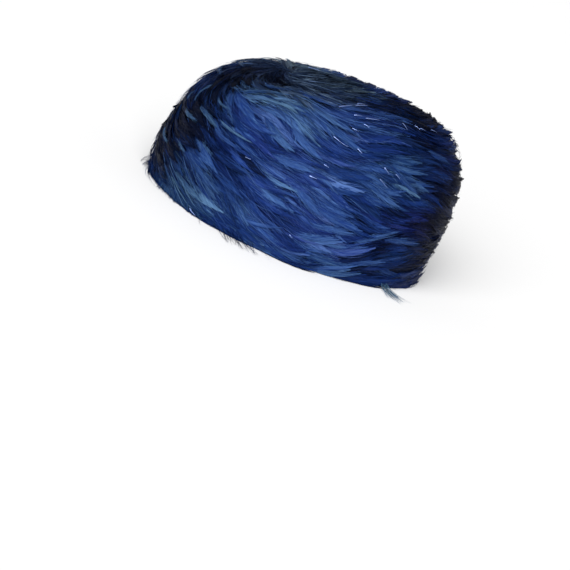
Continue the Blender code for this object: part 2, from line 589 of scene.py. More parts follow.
@dataclass
class FeatherLay:
    """Which way the feathers lie: a swirl out of the whorl that flattens down the side.

    Every angle is in degrees from straight down the hat towards counter-clockwise.
    """

    form: HatForm
    swirl_ways: tuple[float, ...] = (0.0, 0.10, 0.22, 0.35, 0.45, 0.55, 0.65, 0.75)
    swirl_turns: tuple[float, ...] = (30.0, 32.0, 26.0, 26.0, 38.0, 60.0, 71.0, 75.0)
    rim_turn: float = 85.0
    rim_turn_change: float = 19.0
    rim_flattest_deg: float = 30.0
    rim_start: Pair = (0.72, 0.93)  # ways where the lay of the rim takes over
    wander: float = 5.0
    wander_noise: SoftNoise = field(default_factory=lambda: SoftNoise(0.050, 11))
    bend_pivot: float = 0.35  # share of a shaft where its bend is nothing
    least_area: float = 1e-9
    fastest_turn: float = 150.0  # radians for each metre, near the whorl

    def turn(self, angle: Array, way: Array, points: Array) -> Array:
        """The lay at each place.

        Args:
            angle: angle of each place.
            way: way of each place.
            points: the places as points.

        Returns:
            The lay, in radians.
        """
        swirl = np.interp(way, self.swirl_ways, self.swirl_turns)
        rim = self.rim_turn + self.rim_turn_change * np.cos(angle - math.radians(self.rim_flattest_deg))
        near_rim = smooth_rise(way, *self.rim_start)
        swirl = swirl * (1.0 - near_rim) + rim * near_rim
        for patch in LAY_PATCHES:
            swirl = swirl + patch.change * patch.strength(angle, way)
        return np.radians(swirl + self.wander * self.wander_noise.at(points))

    def turn_off(self, angle: Array, way: Array, turn: Array) -> Array:
        """How far wanted turns, in radians, are off the lay at their places."""
        return turn - self.turn(angle, way, self.form.read(angle, way)[0])

    def shafts(
        self, angle: Array, way: Array, length: Array, extra_turn: Array, bend: Array, samples: int
    ) -> Shafts:
        """Follows the lay from each root, on the form's face.

        Args:
            angle: angle of each root.
            way: way of each root.
            length: length of each shaft.
            extra_turn: each shaft's own turn off the lay, in radians.
            bend: how far each shaft turns from its root to its tip beside the lay, in radians.
            samples: points on each shaft.

        Returns:
            The shafts.
        """
        step = length / (samples - 1)
        found = []
        for number in range(samples):
            point, normal, by_angle, by_way = self.form.read(angle, way)
            down = unit(by_way)
            around = unit(np.cross(normal, down))
            own_bend = bend * (number / (samples - 1) - self.bend_pivot)
            turn = self.turn(angle, way, point) + extra_turn + own_bend
            heading = np.cos(turn)[:, None] * down + np.sin(turn)[:, None] * around
            sideways = unit(np.cross(normal, heading))
            aside = self._place_change(sideways, by_angle, by_way)
            found.append((point, sideways, normal, stacked(angle, way), aside))
            change = self._place_change(heading, by_angle, by_way) * step[:, None]
            angle = angle + change[:, 0]
            way = np.clip(way + change[:, 1], 0.0, self.form.last_way)
        return Shafts(*(np.stack(line, axis=1) for line in zip(*found)))

    def _place_change(self, direction: Array, by_angle: Array, by_way: Array) -> Array:
        """Change of angle and way for each metre along a direction.

        Args:
            direction: directions that lie in the face.
            by_angle: slopes of the face by angle.
            by_way: slopes of the face by way.

        Returns:
            One row of both changes a direction.
        """
        along_angle = np.sum(by_angle * direction, axis=1)
        along_way = np.sum(by_way * direction, axis=1)
        square = np.sum(by_angle**2, axis=1)
        mixed = np.sum(by_angle * by_way, axis=1)
        other = np.sum(by_way**2, axis=1)
        area = np.maximum(square * other - mixed**2, self.least_area)
        angle_change = (along_angle * other - along_way * mixed) / area
        way_change = (square * along_way - mixed * along_angle) / area
        return stacked(np.clip(angle_change, -self.fastest_turn, self.fastest_turn), way_change)


@dataclass
class FeatherCover:
    """How many layers of feather lie over each small cell of the form."""

    form: HatForm
    columns: int = 144
    rows: int = 64
    bands: tuple[float, ...] = (-0.66, 0.0, 0.66)  # where a vane is read, in half-widths

    def __post_init__(self) -> None:
        """Starts with no layers and measures the cells."""
        self.layers = np.zeros((self.columns, self.rows))
        angles = (np.arange(self.columns) + 0.5) / self.columns * 2.0 * math.pi
        ways = (np.arange(self.rows) + 0.5) / self.rows * self.form.last_way
        _, _, by_angle, by_way = self.form.read(*np.meshgrid(angles, ways, indexing="ij"))
        area = np.linalg.norm(np.cross(by_angle, by_way), axis=-1)
        self.areas = area * (FULL_TURN / self.columns) * (self.form.last_way / self.rows)

    def cells(self, shafts: Shafts, half_width: Array) -> tuple[Array, Array]:
        """Finds the cells under each vane.

        Args:
            shafts: the vanes' shafts.
            half_width: half-width of each vane.

        Returns:
            Their columns and rows.
        """
        offsets = half_width[:, None, None, None] * np.array(self.bands)[None, None, :, None]
        places = shafts.places[:, :, None, :] + shafts.asides[:, :, None, :] * offsets
        column = (np.mod(places[..., 0], FULL_TURN) / FULL_TURN * self.columns).astype(int)
        row = np.clip(places[..., 1] / self.form.last_way * self.rows, 0, self.rows - 1).astype(int)
        return np.minimum(column, self.columns - 1), row

    def accept(self, shafts: Shafts, half_width: Array, areas: Array, layers: float) -> Array:
        """Lays vanes one after the other where there are still too few layers.

        Args:
            shafts: candidates in the order in which they are tried.
            half_width: half-width of each.
            areas: area of each vane.
            layers: how many layers are wanted.

        Returns:
            Numbers of the vanes that were laid.
        """
        columns, rows = self.cells(shafts, half_width)
        first = columns.shape[1] // 3  # the root's third may lie under others
        laid = []
        for number in range(shafts.count):
            column, row = columns[number], rows[number]
            if self.layers[column[first:], row[first:]].mean() < layers:
                share = areas[number] / column.size
                np.add.at(self.layers, (column, row), share / self.areas[column, row])
                laid.append(number)
        return np.array(laid, int)


# Feathers


class FeatherKind(Enum):
    """Kinds of feather in the mix."""

    BROAD = "broad"
    NARROW = "narrow"
    WISPY = "wispy"
    SPLINTER = "splinter"


@dataclass(frozen=True)
class FeatherCut:
    """How one kind of feather is cut, at its usual size."""

    length: float
    half_width: float
    barbs: int  # loose barbs along each edge
    sweep: float  # how far a barb runs forward
    barb_width: float
    closed: float  # width of the closed vane against the whole feather
    widest: float  # share of the length where the vane is widest
    ruffle: float  # how far loose barbs stand off the plane of the vane
    quill_radius: float
    first_barb: float = 0.04
    last_barb: float = 0.93
    least_width: float = 0.04  # width at both ends, against the widest
    root_power: float = 0.7  # below 1 the vane widens soon after its root
    tip_power: float = 1.7  # above 1 it stays wide until near its tip

    def outline(self, along: Array) -> Array:
        """Half-width of the vane at shares of the length, against the widest.

        Args:
            along: shares of the length.

        Returns:
            The half-widths.
        """
        rising = np.clip((along - self.first_barb) / (self.widest - self.first_barb), 0.0, 1.0)
        falling = np.clip((along - self.widest) / (1.0 - self.widest), 0.0, 1.0)
        widened = (1.0 - self.least_width) * rising**self.root_power
        return self.least_width + widened * (1.0 - falling**self.tip_power)


FEATHER_CUTS = {
    FeatherKind.BROAD: FeatherCut(0.060, 0.0050, 9, 0.025, 0.00044, 0.74, 0.50, 0.00014, 0.00016),
    FeatherKind.NARROW: FeatherCut(0.060, 0.0036, 8, 0.024, 0.00040, 0.70, 0.48, 0.00012, 0.00016),
    FeatherKind.WISPY: FeatherCut(0.056, 0.0048, 14, 0.028, 0.00038, 0.45, 0.58, 0.00022, 0.00014),
    FeatherKind.SPLINTER: FeatherCut(0.050, 0.0018, 5, 0.019, 0.00032, 0.74, 0.42, 0.00008, 0.00014),
}

FEATHER_MIX = {
    FeatherKind.BROAD: 0.46,
    FeatherKind.NARROW: 0.24,
    FeatherKind.WISPY: 0.18,
    FeatherKind.SPLINTER: 0.12,
}


@dataclass
class FeatherStock:
    """Models the closed vane, the barb and the quill, and one feather of each kind."""

    leaf_columns: int = 3
    leaf_rows: int = 8
    leaf_end: float = 0.985
    barb_first_part: float = 0.40  # length of the barb's first part
    barb_parts: tuple[Pair, ...] = ((0.35, 0.80), (0.25, 0.50))  # length and narrowing of the others
    barb_start: float = 0.45  # a loose barb leaves the closed vane at this share of its length
    barb_bend: float = 1.7
    barb_bend_end: float = 0.9  # share of a barb where its width stops turning with the bend
    barb_root_spread: float = 0.4  # against the gap between two barbs
    barb_reach: Pair = (0.6, 1.15)  # against the cut's sweep
    barb_end: float = 1.01  # farthest that a barb may reach, as a share of the length
    barb_out: Pair = (0.84, 1.45)  # against the vane's outline
    barb_least_out: float = 0.03
    barb_width: Pair = (0.8, 1.25)  # against the cut's own
    barb_rise: Pair = (0.3, 1.0)  # middle and spread, against the ruffle
    barb_lift: float = 0.8  # against the ruffle
    barb_shade: float = 0.03  # how much darker a loose barb is than its root
    barb_map_width: float = 0.3  # width of a loose barb on the feather map
    quill_sides: int = 3
    quill_steps: int = 5
    quill_taper: float = 0.78
    quill_end: float = 0.93
    quill_flatness: float = 0.8
    quill_rise: float = 0.3  # how far the quill stands proud of the vane, in its own radii
    quill_material: int = 1
    camber: float = 0.22
    streaks: int = 16
    first_streak: float = -0.4  # share of the length where the first streak leaves the quill
    streak_tone: float = 0.075
    # painted shade: the closed vane is coloured darker towards its edges, which tuck under its neighbours,
    # and towards its root, which lies under other feathers
    edge_shade: float = 0.09
    root_shade: float = 0.20
    map_rate: float = 12.0  # units of the feather map along a feather
    map_start: float = 0.5
    map_side: float = 1.3  # how far the map of one side lies from that of the other
    seed: int = 5

    def __post_init__(self) -> None:
        """Models every pattern."""
        self.leaf = self.model_leaf()
        self.barb = self.model_barb()
        self.quill = self.model_quill()
        draw = np.random.default_rng(self.seed)
        self.feathers = {kind: self.make_feather(cut, draw) for kind, cut in FEATHER_CUTS.items()}

    def model_leaf(self) -> Pattern:
        """Models one side of the closed vane, flat.

        Returns:
            The side, from the quill at X = 0 out to X = 1.
        """
        deselect_all()
        bpy.ops.mesh.primitive_grid_add(
            x_subdivisions=self.leaf_columns, y_subdivisions=self.leaf_rows, size=1.0
        )
        leaf = open_shape("leaf")
        bpy.ops.transform.translate(value=(0.5, 0.5, 0.0))
        close_shape()
        return Pattern.from_shape(leaf)

    def model_barb(self) -> Pattern:
        """Models a bundle of barbs as a flat blade that ends in a point.

        Returns:
            The blade, along +Y.
        """
        deselect_all()
        far_edge = self.barb_first_part
        bpy.ops.mesh.primitive_plane_add(size=1.0)
        blade = open_shape("barb")
        bpy.ops.transform.translate(value=(0.0, 0.5, 0.0))
        bpy.ops.transform.resize(value=(1.0, far_edge, 1.0), center_override=(0.0, 0.0, 0.0))
        select_points(blade, lambda place: place.y > self.barb_first_part / 2)
        for step, narrowing in self.barb_parts:
            far_edge += step
            grow(Vector((0.0, step, 0.0)), (narrowing, 1.0), Vector((0.0, far_edge, 0.0)))
        bpy.ops.mesh.merge(type="CENTER")
        close_shape()
        return Pattern.from_shape(blade)

    def model_quill(self) -> Pattern:
        """Models the quill as a thin tapering rod.

        Returns:
            The rod, of length 1 and radius 1, along +Y.
        """
        deselect_all()
        bpy.ops.mesh.primitive_circle_add(vertices=self.quill_sides, radius=1.0, fill_type="NOTHING")
        rod = open_shape("quill")
        step = 1.0 / self.quill_steps
        for number in range(self.quill_steps):
            middle = Vector((0.0, 0.0, step * (number + 1)))
            grow(Vector((0.0, 0.0, step)), (self.quill_taper, self.quill_taper), middle)
        face_out()
        close_shape()
        rod.data.transform(Matrix.Rotation(math.radians(-90.0), 4, "X"))
        return Pattern.from_shape(rod, self.quill_material)

    def make_feather(self, cut: FeatherCut, draw: Draw) -> Pattern:
        """Sets a closed vane and loose barbs along both sides of a quill.

        Args:
            cut: how this kind of feather is cut.
            draw: source of the small differences between barbs.

        Returns:
            The feather's pattern.
        """
        parts = []
        roots = np.linspace(cut.first_barb, cut.last_barb, cut.barbs)
        gap = roots[1] - roots[0]
        for side in (-1.0, 1.0):
            streaks = draw.normal(0.0, self.streak_tone, self.streaks)
            parts.append(self._set_leaf(cut, side, streaks))
            for root in roots:
                own_root = root + draw.uniform(-self.barb_root_spread, self.barb_root_spread) * gap
                parts.append(self._set_barb(cut, side, own_root, streaks, draw))
        parts.append(self._set_quill(cut))
        return Pattern.joined(parts)

    def bare_quill(self) -> Pattern:
        """A quill by itself, which takes the first material of its piece."""
        rod = self.quill
        return replace(rod, map_across=rod.across, face_material=np.zeros_like(rod.face_material))

    def _streak(self, root: Array, streaks: Array) -> Array:
        """Tone of the barbs that leave the quill at a share of its length."""
        return np.interp(root, np.linspace(self.first_streak, 1.0, self.streaks), streaks)

    def _on_map(self, root: Array, side: float) -> Array:
        """Place of a barb's root on the feather map."""
        return self.map_rate * (root + self.map_start + (self.map_side if side > 0 else 0.0))

    def _set_leaf(self, cut: FeatherCut, side: float, streaks: Array) -> Pattern:
        """Sets one side of the closed vane, whose map follows the barbs that it is made of.

        Args:
            cut: how this kind of feather is cut.
            side: -1 or 1.
            streaks: tones of the barbs from the root to the tip.

        Returns:
            The side in its place.
        """
        leaf = self.leaf
        start = 0.5 * cut.first_barb
        along = start + (self.leaf_end - start) * leaf.along
        across = side * leaf.across * cut.closed * cut.outline(along)
        barb_share = 1.0 - (1.0 - np.clip(leaf.across, 0.0, 1.0)) ** (1.0 / self.barb_bend)
        root = along - barb_share * cut.sweep / cut.length
        # painted shade: darker towards the vane's edges here and towards its root below
        tone = self._streak(root, streaks) - self.edge_shade * leaf.across**2
        faces = leaf.corners.reshape(-1, 4)
        return replace(
            leaf,
            across=across,
            along=along,
            height=-self.camber * across**2,
            map_across=self._on_map(root, side),
            map_along=barb_share,
            tone=tone - self.root_shade * (1.0 - leaf.along) ** 2,
            corners=(faces if side > 0 else faces[:, ::-1]).ravel(),
        )

    def _set_barb(self, cut: FeatherCut, side: float, root: float, streaks: Array, draw: Draw) -> Pattern:
        """Sets one loose bundle of barbs, which leaves the closed vane near its edge.

        Args:
            cut: how this kind of feather is cut.
            side: -1 or 1.
            root: where it leaves the quill, as a share of the length.
            streaks: tones of the barbs from the root to the tip.
            draw: source of its own differences.

        Returns:
            The bundle in its place.
        """
        blade = self.barb
        reach = min(cut.sweep * draw.uniform(*self.barb_reach), (self.barb_end - root) * cut.length)
        wide = float(cut.outline(np.array(root + reach / cut.length)))
        out = side * cut.half_width * (wide * draw.uniform(*self.barb_out) + self.barb_least_out)
        share = self.barb_start + (1.0 - self.barb_start) * blade.along
        across = out * (1.0 - (1.0 - share) ** self.barb_bend)
        along = root * cut.length + reach * share
        to_tip = 1.0 - np.minimum(share, self.barb_bend_end)
        slope = out * self.barb_bend * to_tip ** (self.barb_bend - 1.0)
        slope_length = np.hypot(slope, reach)
        offset = blade.across * cut.barb_width * draw.uniform(*self.barb_width)
        across = (across + offset * reach / slope_length) / cut.half_width
        along = along - offset * slope / slope_length
        tilt = draw.normal(0.0, 1.0) * cut.ruffle
        rise = draw.normal(*self.barb_rise) * share**2
        height = blade.across * 2.0 * tilt + (rise + self.barb_lift) * cut.ruffle
        tone = self._streak(np.array(root), streaks) + draw.normal(-self.barb_shade, self.streak_tone)
        return replace(
            blade,
            across=across,
            along=along / cut.length,
            height=height / cut.half_width - self.camber * across**2,
            map_across=self._on_map(root, side) + self.barb_map_width * blade.map_across,
            map_along=share,
            tone=np.full(len(across), float(tone)),
        )

    def _set_quill(self, cut: FeatherCut) -> Pattern:
        """Sets the quill, a little proud of the vane.

        Args:
            cut: how this kind of feather is cut.

        Returns:
            The quill in its place.
        """
        rod = self.quill
        radius = cut.quill_radius / cut.half_width
        return replace(
            rod,
            across=rod.across * radius,
            along=rod.along * self.quill_end,
            height=rod.height * radius * self.quill_flatness + radius * self.quill_rise,
            map_across=np.zeros_like(rod.across),
        )


@dataclass(frozen=True)
class Dimple:
    """The hollow in the feathers near the whorl, sunk and coloured darker inside with painted shade."""

    angle_deg: float = -63.0
    way: float = 0.125
    radius: float = 0.0080
    depth: float = 0.0085
    # painted shade: how much darker the feathers in the hollow are coloured
    shade: float = 1.10

    def middle(self, form: HatForm) -> Array:
        """Its middle on the form's face."""
        return form.read(np.radians(np.array([self.angle_deg])), np.array([self.way]))[0][0]

    def strength(self, form: HatForm, points: Array) -> Array:
        """How strongly it counts at each point."""
        distance = np.linalg.norm(points - self.middle(form), axis=-1)
        return np.exp(-((distance / self.radius) ** 2))


def add_map(mesh: bpy.types.Mesh, name: str, places: Array) -> None:
    """Gives a mesh a map.

    Args:
        mesh: the mesh.
        name: the map's name.
        places: place of each vertex on the map.
    """
    corners = np.zeros(len(mesh.loops), np.int32)
    mesh.loops.foreach_get("vertex_index", corners)
    layer = mesh.uv_layers.new(name=name)
    layer.data.foreach_set("uv", places[corners].astype(np.float32).ravel())


@dataclass
class Plumage:
    """Collects laid feathers and makes one joined mesh of them."""

    name: str
    form: HatForm
    dimple: Dimple = Dimple()
    floor_gap: float = 0.0004
    floor_spread: float = 0.55  # how far a tip that meets the floor turns outwards
    floor_rise: float = 0.02  # how far it then rises, against how far it would have sunk
    cell_aspect: float = 6.0  # height of a copy's cell on the bake map against its width
    cell_margin: float = 0.06
    map_stride: float = 64.0  # from one copy to the next on the feather map
    batches: list[dict[str, Array]] = field(default_factory=list)
    laid: int = 0

    def lay(self, pattern: Pattern, vanes: Vanes) -> None:
        """Lays one copy of a pattern along each shaft.

        Args:
            pattern: the shape to copy.
            vanes: where and how the copies lie.
        """
        base, across, outward = vanes.shafts.at(pattern.along)
        # painted shade: the feathers in the dimple's hollow are coloured darker
        shade = -self.dimple.shade * self.dimple.strength(self.form, base)
        offset = pattern.across * vanes.half_width[:, None]
        height = pattern.height * vanes.half_width[:, None] - vanes.roll[:, None] * offset
        places = self._rested(base + across * offset[..., None] + outward * height[..., None])

        count, size = places.shape[:2]
        numbers = np.arange(count)[:, None]
        copies = numbers + self.laid
        feather_map = stacked(pattern.map_across + self.map_stride * copies, pattern.map_along)
        tone = stacked(vanes.colour[:, 0:1], vanes.colour[:, 1:2], pattern.tone + shade, 1.0)
        cell = stacked(np.clip(pattern.across * 0.5 + 0.5, 0.0, 1.0), np.clip(pattern.along, 0.0, 1.0))
        batch = {
            "places": places.reshape(-1, 3),
            "map": feather_map.reshape(-1, 2),
            "tone": tone.reshape(-1, 4),
            "cell": np.tile(cell, (count, 1)),
            "copy": np.repeat(copies.ravel(), size),
            "corners": (pattern.corners + numbers * size).ravel(),
            "sizes": np.tile(pattern.face_sizes, count),
            "material": np.tile(pattern.face_material, count),
        }
        self.batches.append(batch)
        self.laid += count

    def _rested(self, places: Array) -> Array:
        """Turns what would pass through the floor outwards along it.

        Args:
            places: points of the laid feathers.

        Returns:
            The points, none of them under the floor.
        """
        under = np.clip(self.floor_gap - places[..., 2], 0.0, None)
        level = places[..., :2] + unit(places[..., :2]) * (under * self.floor_spread)[..., None]
        height = np.maximum(places[..., 2], self.floor_gap) + self.floor_rise * under
        return np.concatenate([level, height[..., None]], axis=-1)

    def finish(self, materials: Materials) -> bpy.types.Object:
        """Makes the joined mesh.

        Args:
            materials: materials in the order of the patterns' indices.

        Returns:
            The new object.
        """
        starts = np.cumsum([0] + [len(batch["places"]) for batch in self.batches[:-1]])
        for batch, start in zip(self.batches, starts):
            batch["corners"] = batch["corners"] + start
        joined = {key: np.concatenate([batch[key] for batch in self.batches]) for key in self.batches[0]}
        mesh = bpy.data.meshes.new(self.name)
        mesh.vertices.add(len(joined["places"]))
        mesh.vertices.foreach_set("co", joined["places"].astype(np.float32).ravel())
        mesh.loops.add(len(joined["corners"]))
        mesh.loops.foreach_set("vertex_index", joined["corners"].astype(np.int32))
        mesh.polygons.add(len(joined["sizes"]))
        face_starts = np.concatenate([[0], np.cumsum(joined["sizes"])[:-1]])
        mesh.polygons.foreach_set("loop_start", face_starts.astype(np.int32))
        mesh.polygons.foreach_set("material_index", joined["material"].astype(np.int32))
        mesh.update(calc_edges=True)
        mesh.validate()

        tone = mesh.attributes.new(TONE_ATTRIBUTE, "FLOAT_COLOR", "POINT")
        tone.data.foreach_set("color", joined["tone"].astype(np.float32).ravel())
        add_map(mesh, FEATHER_MAP, joined["map"])
        add_map(mesh, BAKE_MAP, self._bake_cells(joined["cell"], joined["copy"]))
        for material in materials:
            mesh.materials.append(material)
        mesh.shade_smooth()
        piece = bpy.data.objects.new(self.name, mesh)
        bpy.context.scene.collection.objects.link(piece)
        return piece

    def _bake_cells(self, cell: Array, copy: Array) -> Array:
        """Gives each copy a cell of its own on a square sheet.

        Args:
            cell: place of each vertex in its copy's cell.
            copy: number of the copy that each vertex belongs to.

        Returns:
            Place of each vertex on the sheet.
        """
        columns = math.ceil(math.sqrt(self.laid * self.cell_aspect))
        rows = math.ceil(self.laid / columns)
        inner = self.cell_margin + cell * (1.0 - 2.0 * self.cell_margin)
        return stacked((copy % columns + inner[:, 0]) / columns, (copy // columns + inner[:, 1]) / rows)


@dataclass(frozen=True)
class LooseStrands:
    """Loose barbs that lie over a vane, along it and in its colour."""

    per_vane: int = 12
    samples: int = 5
    start: Pair = (0.10, 0.74)  # shares of the vane's length
    length: Pair = (0.22, 0.46)
    last_end: float = 1.07
    side: float = 0.8  # farthest start to a side, in half-widths of the vane
    drift: Pair = (-0.1, 0.7)  # how far a strand drifts outwards, in half-widths
    drift_power: float = 1.5
    lift: float = 0.0003
    tip_lift: float = 0.0006
    tone_lift: float = 0.04
    tone_spread: float = 0.07
    half_width: Pair = (0.00012, 0.00023)
    roll_spread: float = 0.5

    def lay(self, stock: FeatherStock, vanes: Vanes, plumage: Plumage, draw: Draw) -> None:
        """Lays the strands of many vanes.

        Args:
            stock: where the barb's shape comes from.
            vanes: the vanes under the strands.
            plumage: takes the strands.
            draw: source of the differences between strands.
        """
        rows = np.repeat(np.arange(vanes.shafts.count), self.per_vane)
        count = len(rows)
        start = draw.uniform(*self.start, count)
        end = np.minimum(start + draw.uniform(*self.length, count), self.last_end)
        strands = vanes.shafts.stretches(rows, start, end, self.samples)
        along = np.linspace(0.0, 1.0, self.samples)[None, :]
        side = draw.uniform(-self.side, self.side, (count, 1))
        aside = side + np.sign(side) * draw.uniform(*self.drift, (count, 1)) * along**self.drift_power
        wide = vanes.half_width[rows][:, None]
        height = -stock.camber * aside**2 * wide - vanes.roll[rows][:, None] * aside * wide
        height = height + self.lift + draw.uniform(0.0, self.tip_lift, (count, 1)) * along
        sideways = strands.across * (aside * wide)[..., None]
        strands.points = strands.points + sideways + strands.outward * height[..., None]
        own = draw.normal((self.tone_lift, 0.0), self.tone_spread, (count, 2))
        half_width = draw.uniform(*self.half_width, count)
        roll = draw.normal(0.0, self.roll_spread, count)
        plumage.lay(stock.barb, Vanes(strands, half_width, roll, vanes.colour[rows] + own))


@dataclass
class DyeAndShade:
    """How light and of which hue each feather is coloured: its dye, with painted shade on the top and the
    painted shade and light of the colour patches.
    """

    middle: float = 0.455
    # painted shade: the feathers of the top are coloured darker by this much
    top_shade: float = 0.03
    top_end: Pair = (0.12, 0.32)  # ways where the top passes into the side
    drift: float = 0.09
    spread: float = 0.16
    top_spread: float = 0.6  # how much more the feathers of the top differ
    hue_middle: float = 0.06
    hue_drift: float = 0.12
    hue_spread: float = 0.15
    drift_noise: SoftNoise = field(default_factory=lambda: SoftNoise(0.060, 21))
    hue_noise: SoftNoise = field(default_factory=lambda: SoftNoise(0.080, 22))

    def colours(self, shafts: Shafts, draw: Draw) -> Array:
        """Tone and hue of each feather.

        Args:
            shafts: where the feathers lie.
            draw: source of the differences from feather to feather.

        Returns:
            One row of tone and hue a feather.
        """
        middle = shafts.points.shape[1] // 2
        angle, way = shafts.places[:, middle].T
        points = shafts.points[:, middle]
        on_top = 1.0 - smooth_rise(way, *self.top_end)
        # painted shade darkens the top
        tone = self.middle - self.top_shade * on_top + self.drift * self.drift_noise.at(points)
        tone = tone + draw.normal(0.0, self.spread, shafts.count) * (1.0 + self.top_spread * on_top)
        hue = self.hue_middle + self.hue_drift * self.hue_noise.at(points)
        hue = hue + draw.normal(0.0, self.hue_spread, shafts.count)
        # the colour patches add dye and hue, with painted shade, sheen and rim light
        for patch in COLOUR_PATCHES:
            strength = patch.strength(angle, way)
            tone = tone + patch.change * strength
            hue = hue + patch.hue * strength
        return stacked(tone, hue)


@dataclass(frozen=True)
class RoundPlan:
    """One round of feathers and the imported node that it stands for."""

    name: str
    node: str
    slot: str
    first_way: float
    last_way: float
    length: float
    width: float  # against each cut's own width
    hairs: int


ROUND_PLANS = (
    RoundPlan("rim_plumage", "rim_feathers", SIDE_SLOT, 0.79, 1.00, 0.056, 0.95, 1260),
    RoundPlan("lower_side_plumage", "lower_side_feathers", SIDE_SLOT, 0.65, 0.79, 0.062, 1.05, 909),
    RoundPlan("middle_side_plumage", "middle_side_feathers", SIDE_SLOT, 0.50, 0.65, 0.065, 1.05, 909),
    RoundPlan("upper_side_plumage", "upper_side_feathers", SIDE_SLOT, 0.35, 0.50, 0.065, 1.05, 909),
    RoundPlan("shoulder_plumage", "shoulder_feathers", SIDE_SLOT, 0.20, 0.35, 0.062, 1.00, 909),
    RoundPlan("crown_plumage", "crown_feathers", TOP_SLOT, 0.07, 0.20, 0.052, 0.90, 840),
    RoundPlan("whorl_plumage", "whorl_feathers", TOP_SLOT, 0.004, 0.07, 0.038, 0.75, 560),
)


@dataclass
class FeatherRound:
    """Builds one round of feathers."""

    plan: RoundPlan
    lay: FeatherLay
    stock: FeatherStock
    dye: DyeAndShade
    cover: FeatherCover
    seed: int
    candidates: int = 2400
    layers: float = 3.9
    rim_overrun: float = 0.035  # how far past the rim a tip may point, as a share of the way
    samples: int = 14
    usual_length: float = 0.060  # length of a cut that takes the plan's length as it is
    length_range: Pair = (0.80, 1.16)
    width_range: Pair = (0.80, 1.15)
    root_lift: float = 0.0014
    tip_lift: float = 0.0096
    rim_tip_lift: float = 0.0076
    lift_spread: float = 0.0006
    lift_power: float = 1.8
    least_lift: float = 0.0007
    turn_spread: float = 6.0
    bend: float = 12.0
    bend_spread: float = 11.0
    roll: float = 0.07
    roll_spread: float = 0.08
    vane_fill: float = 0.62  # area of a vane against the box round it
    flare_spread: float = 0.0006  # of the tips, which curl up or down
    flare_range: Pair = (-0.0006, 0.0018)
    flare_power: int = 4
    stray_share: float = 0.035  # of the tips, which stand off the rest
    stray_flare: float = 0.0014
    ragged_share: float = 0.22
    ragged_flare: float = 0.0034
    hair_overrun: float = 0.03  # how far below the round a hair may start
    hair_length: Pair = (0.014, 0.036)
    hair_turn_spread: float = 10.0
    hair_bend: Pair = (8.0, 16.0)  # middle and spread
    hair_samples: int = 6
    hair_lift: Pair = (0.0078, 0.0098)
    hair_rim_drop: float = 0.0022
    hair_rise: Pair = (0.0004, 0.0008)  # middle and spread
    hair_half_width: Pair = (0.00014, 0.00030)
    hair_roll_spread: float = 0.6
    dimple: Dimple = Dimple()
    strands: LooseStrands = LooseStrands()

    def __post_init__(self) -> None:
        """Starts the round's mesh and its random draws."""
        self.plumage = Plumage(self.plan.name, self.lay.form, self.dimple)
        self.draw = np.random.default_rng(self.seed)

    def build(self, materials: Materials) -> bpy.types.Object:
        """Lays the feathers and the fine hairs of the round.

        Args:
            materials: materials of the vanes and of the quills.

        Returns:
            The round's piece.
        """
        draw, plan, count = self.draw, self.plan, self.candidates
        chosen = draw.choice(len(FEATHER_MIX), size=count, p=tuple(FEATHER_MIX.values()))
        cuts = [FEATHER_CUTS[kind] for kind in FEATHER_MIX]
        usual = np.array([(cut.length, cut.half_width) for cut in cuts])[chosen]
        length = plan.length * draw.uniform(*self.length_range, count) * usual[:, 0] / self.usual_length
        half_width = plan.width * draw.uniform(*self.width_range, count) * usual[:, 1]
        way = draw.uniform(plan.first_way, plan.last_way, count)
        angle = draw.uniform(0.0, FULL_TURN, count)
        turn = np.radians(draw.normal(0.0, self.turn_spread, count))
        bend = np.radians(self.bend + draw.normal(0.0, self.bend_spread, count))
        shafts = self.lay.shafts(angle, way, length, turn, bend, self.samples)
        fits = np.flatnonzero(shafts.places[:, :, 1].max(axis=1) < 1.0 + self.rim_overrun)
        areas = length * 2.0 * half_width * self.vane_fill
        laid = fits[self.cover.accept(shafts.chosen(fits), half_width[fits], areas[fits], self.layers)]
        for number, kind in enumerate(FEATHER_MIX):
            mine = laid[chosen[laid] == number]
            self._lay_kind(kind, shafts.chosen(mine), half_width[mine])
        self._lay_hairs()
        LOG.info("%s: %d feathers", plan.name, len(laid))
        return self.plumage.finish(materials)

    def _raised(self, shafts: Shafts, lift: Array) -> Shafts:
        """Raises shafts over the form by a lift, less in the dimple."""
        sink = self.dimple.depth * self.dimple.strength(self.lay.form, shafts.points)
        return shafts.lifted(np.maximum(lift - sink, self.least_lift))

    def _lay_kind(self, kind: FeatherKind, shafts: Shafts, half_width: Array) -> None:
        """Lays all feathers of one kind.

        Args:
            kind: the kind of feather.
            shafts: where the feathers lie, on the form's face.
            half_width: half-width of each.
        """
        draw, count = self.draw, shafts.count
        tip_angle, tip_way = shafts.places[:, -1].T
        along = np.linspace(0.0, 1.0, self.samples)[None, :]
        extra = draw.normal(0.0, self.lift_spread, (count, 1))
        flare = np.clip(draw.normal(0.0, self.flare_spread, (count, 1)), *self.flare_range)
        ragged = RAGGED_PATCH.strength(tip_angle, tip_way)[:, None]
        stray = draw.random((count, 1)) < self.stray_share + self.ragged_share * ragged
        flare = flare + (self.stray_flare + self.ragged_flare * ragged) * stray
        rim = near_rim(tip_way)[:, None]
        tip_lift = self.tip_lift * (1.0 - rim) + self.rim_tip_lift * rim
        tip_lift = tip_lift + patched_lift(tip_angle, tip_way)[:, None]
        rise = 1.0 - (1.0 - along) ** self.lift_power
        lift = self.root_lift + (tip_lift - self.root_lift + extra) * rise
        shafts = self._raised(shafts, lift + flare * along**self.flare_power)
        roll = self.roll + draw.normal(0.0, self.roll_spread, count)
        vanes = Vanes(shafts, half_width, roll, self.dye.colours(shafts, draw))
        self.plumage.lay(self.stock.feathers[kind], vanes)
        self.strands.lay(self.stock, vanes, self.plumage, draw)

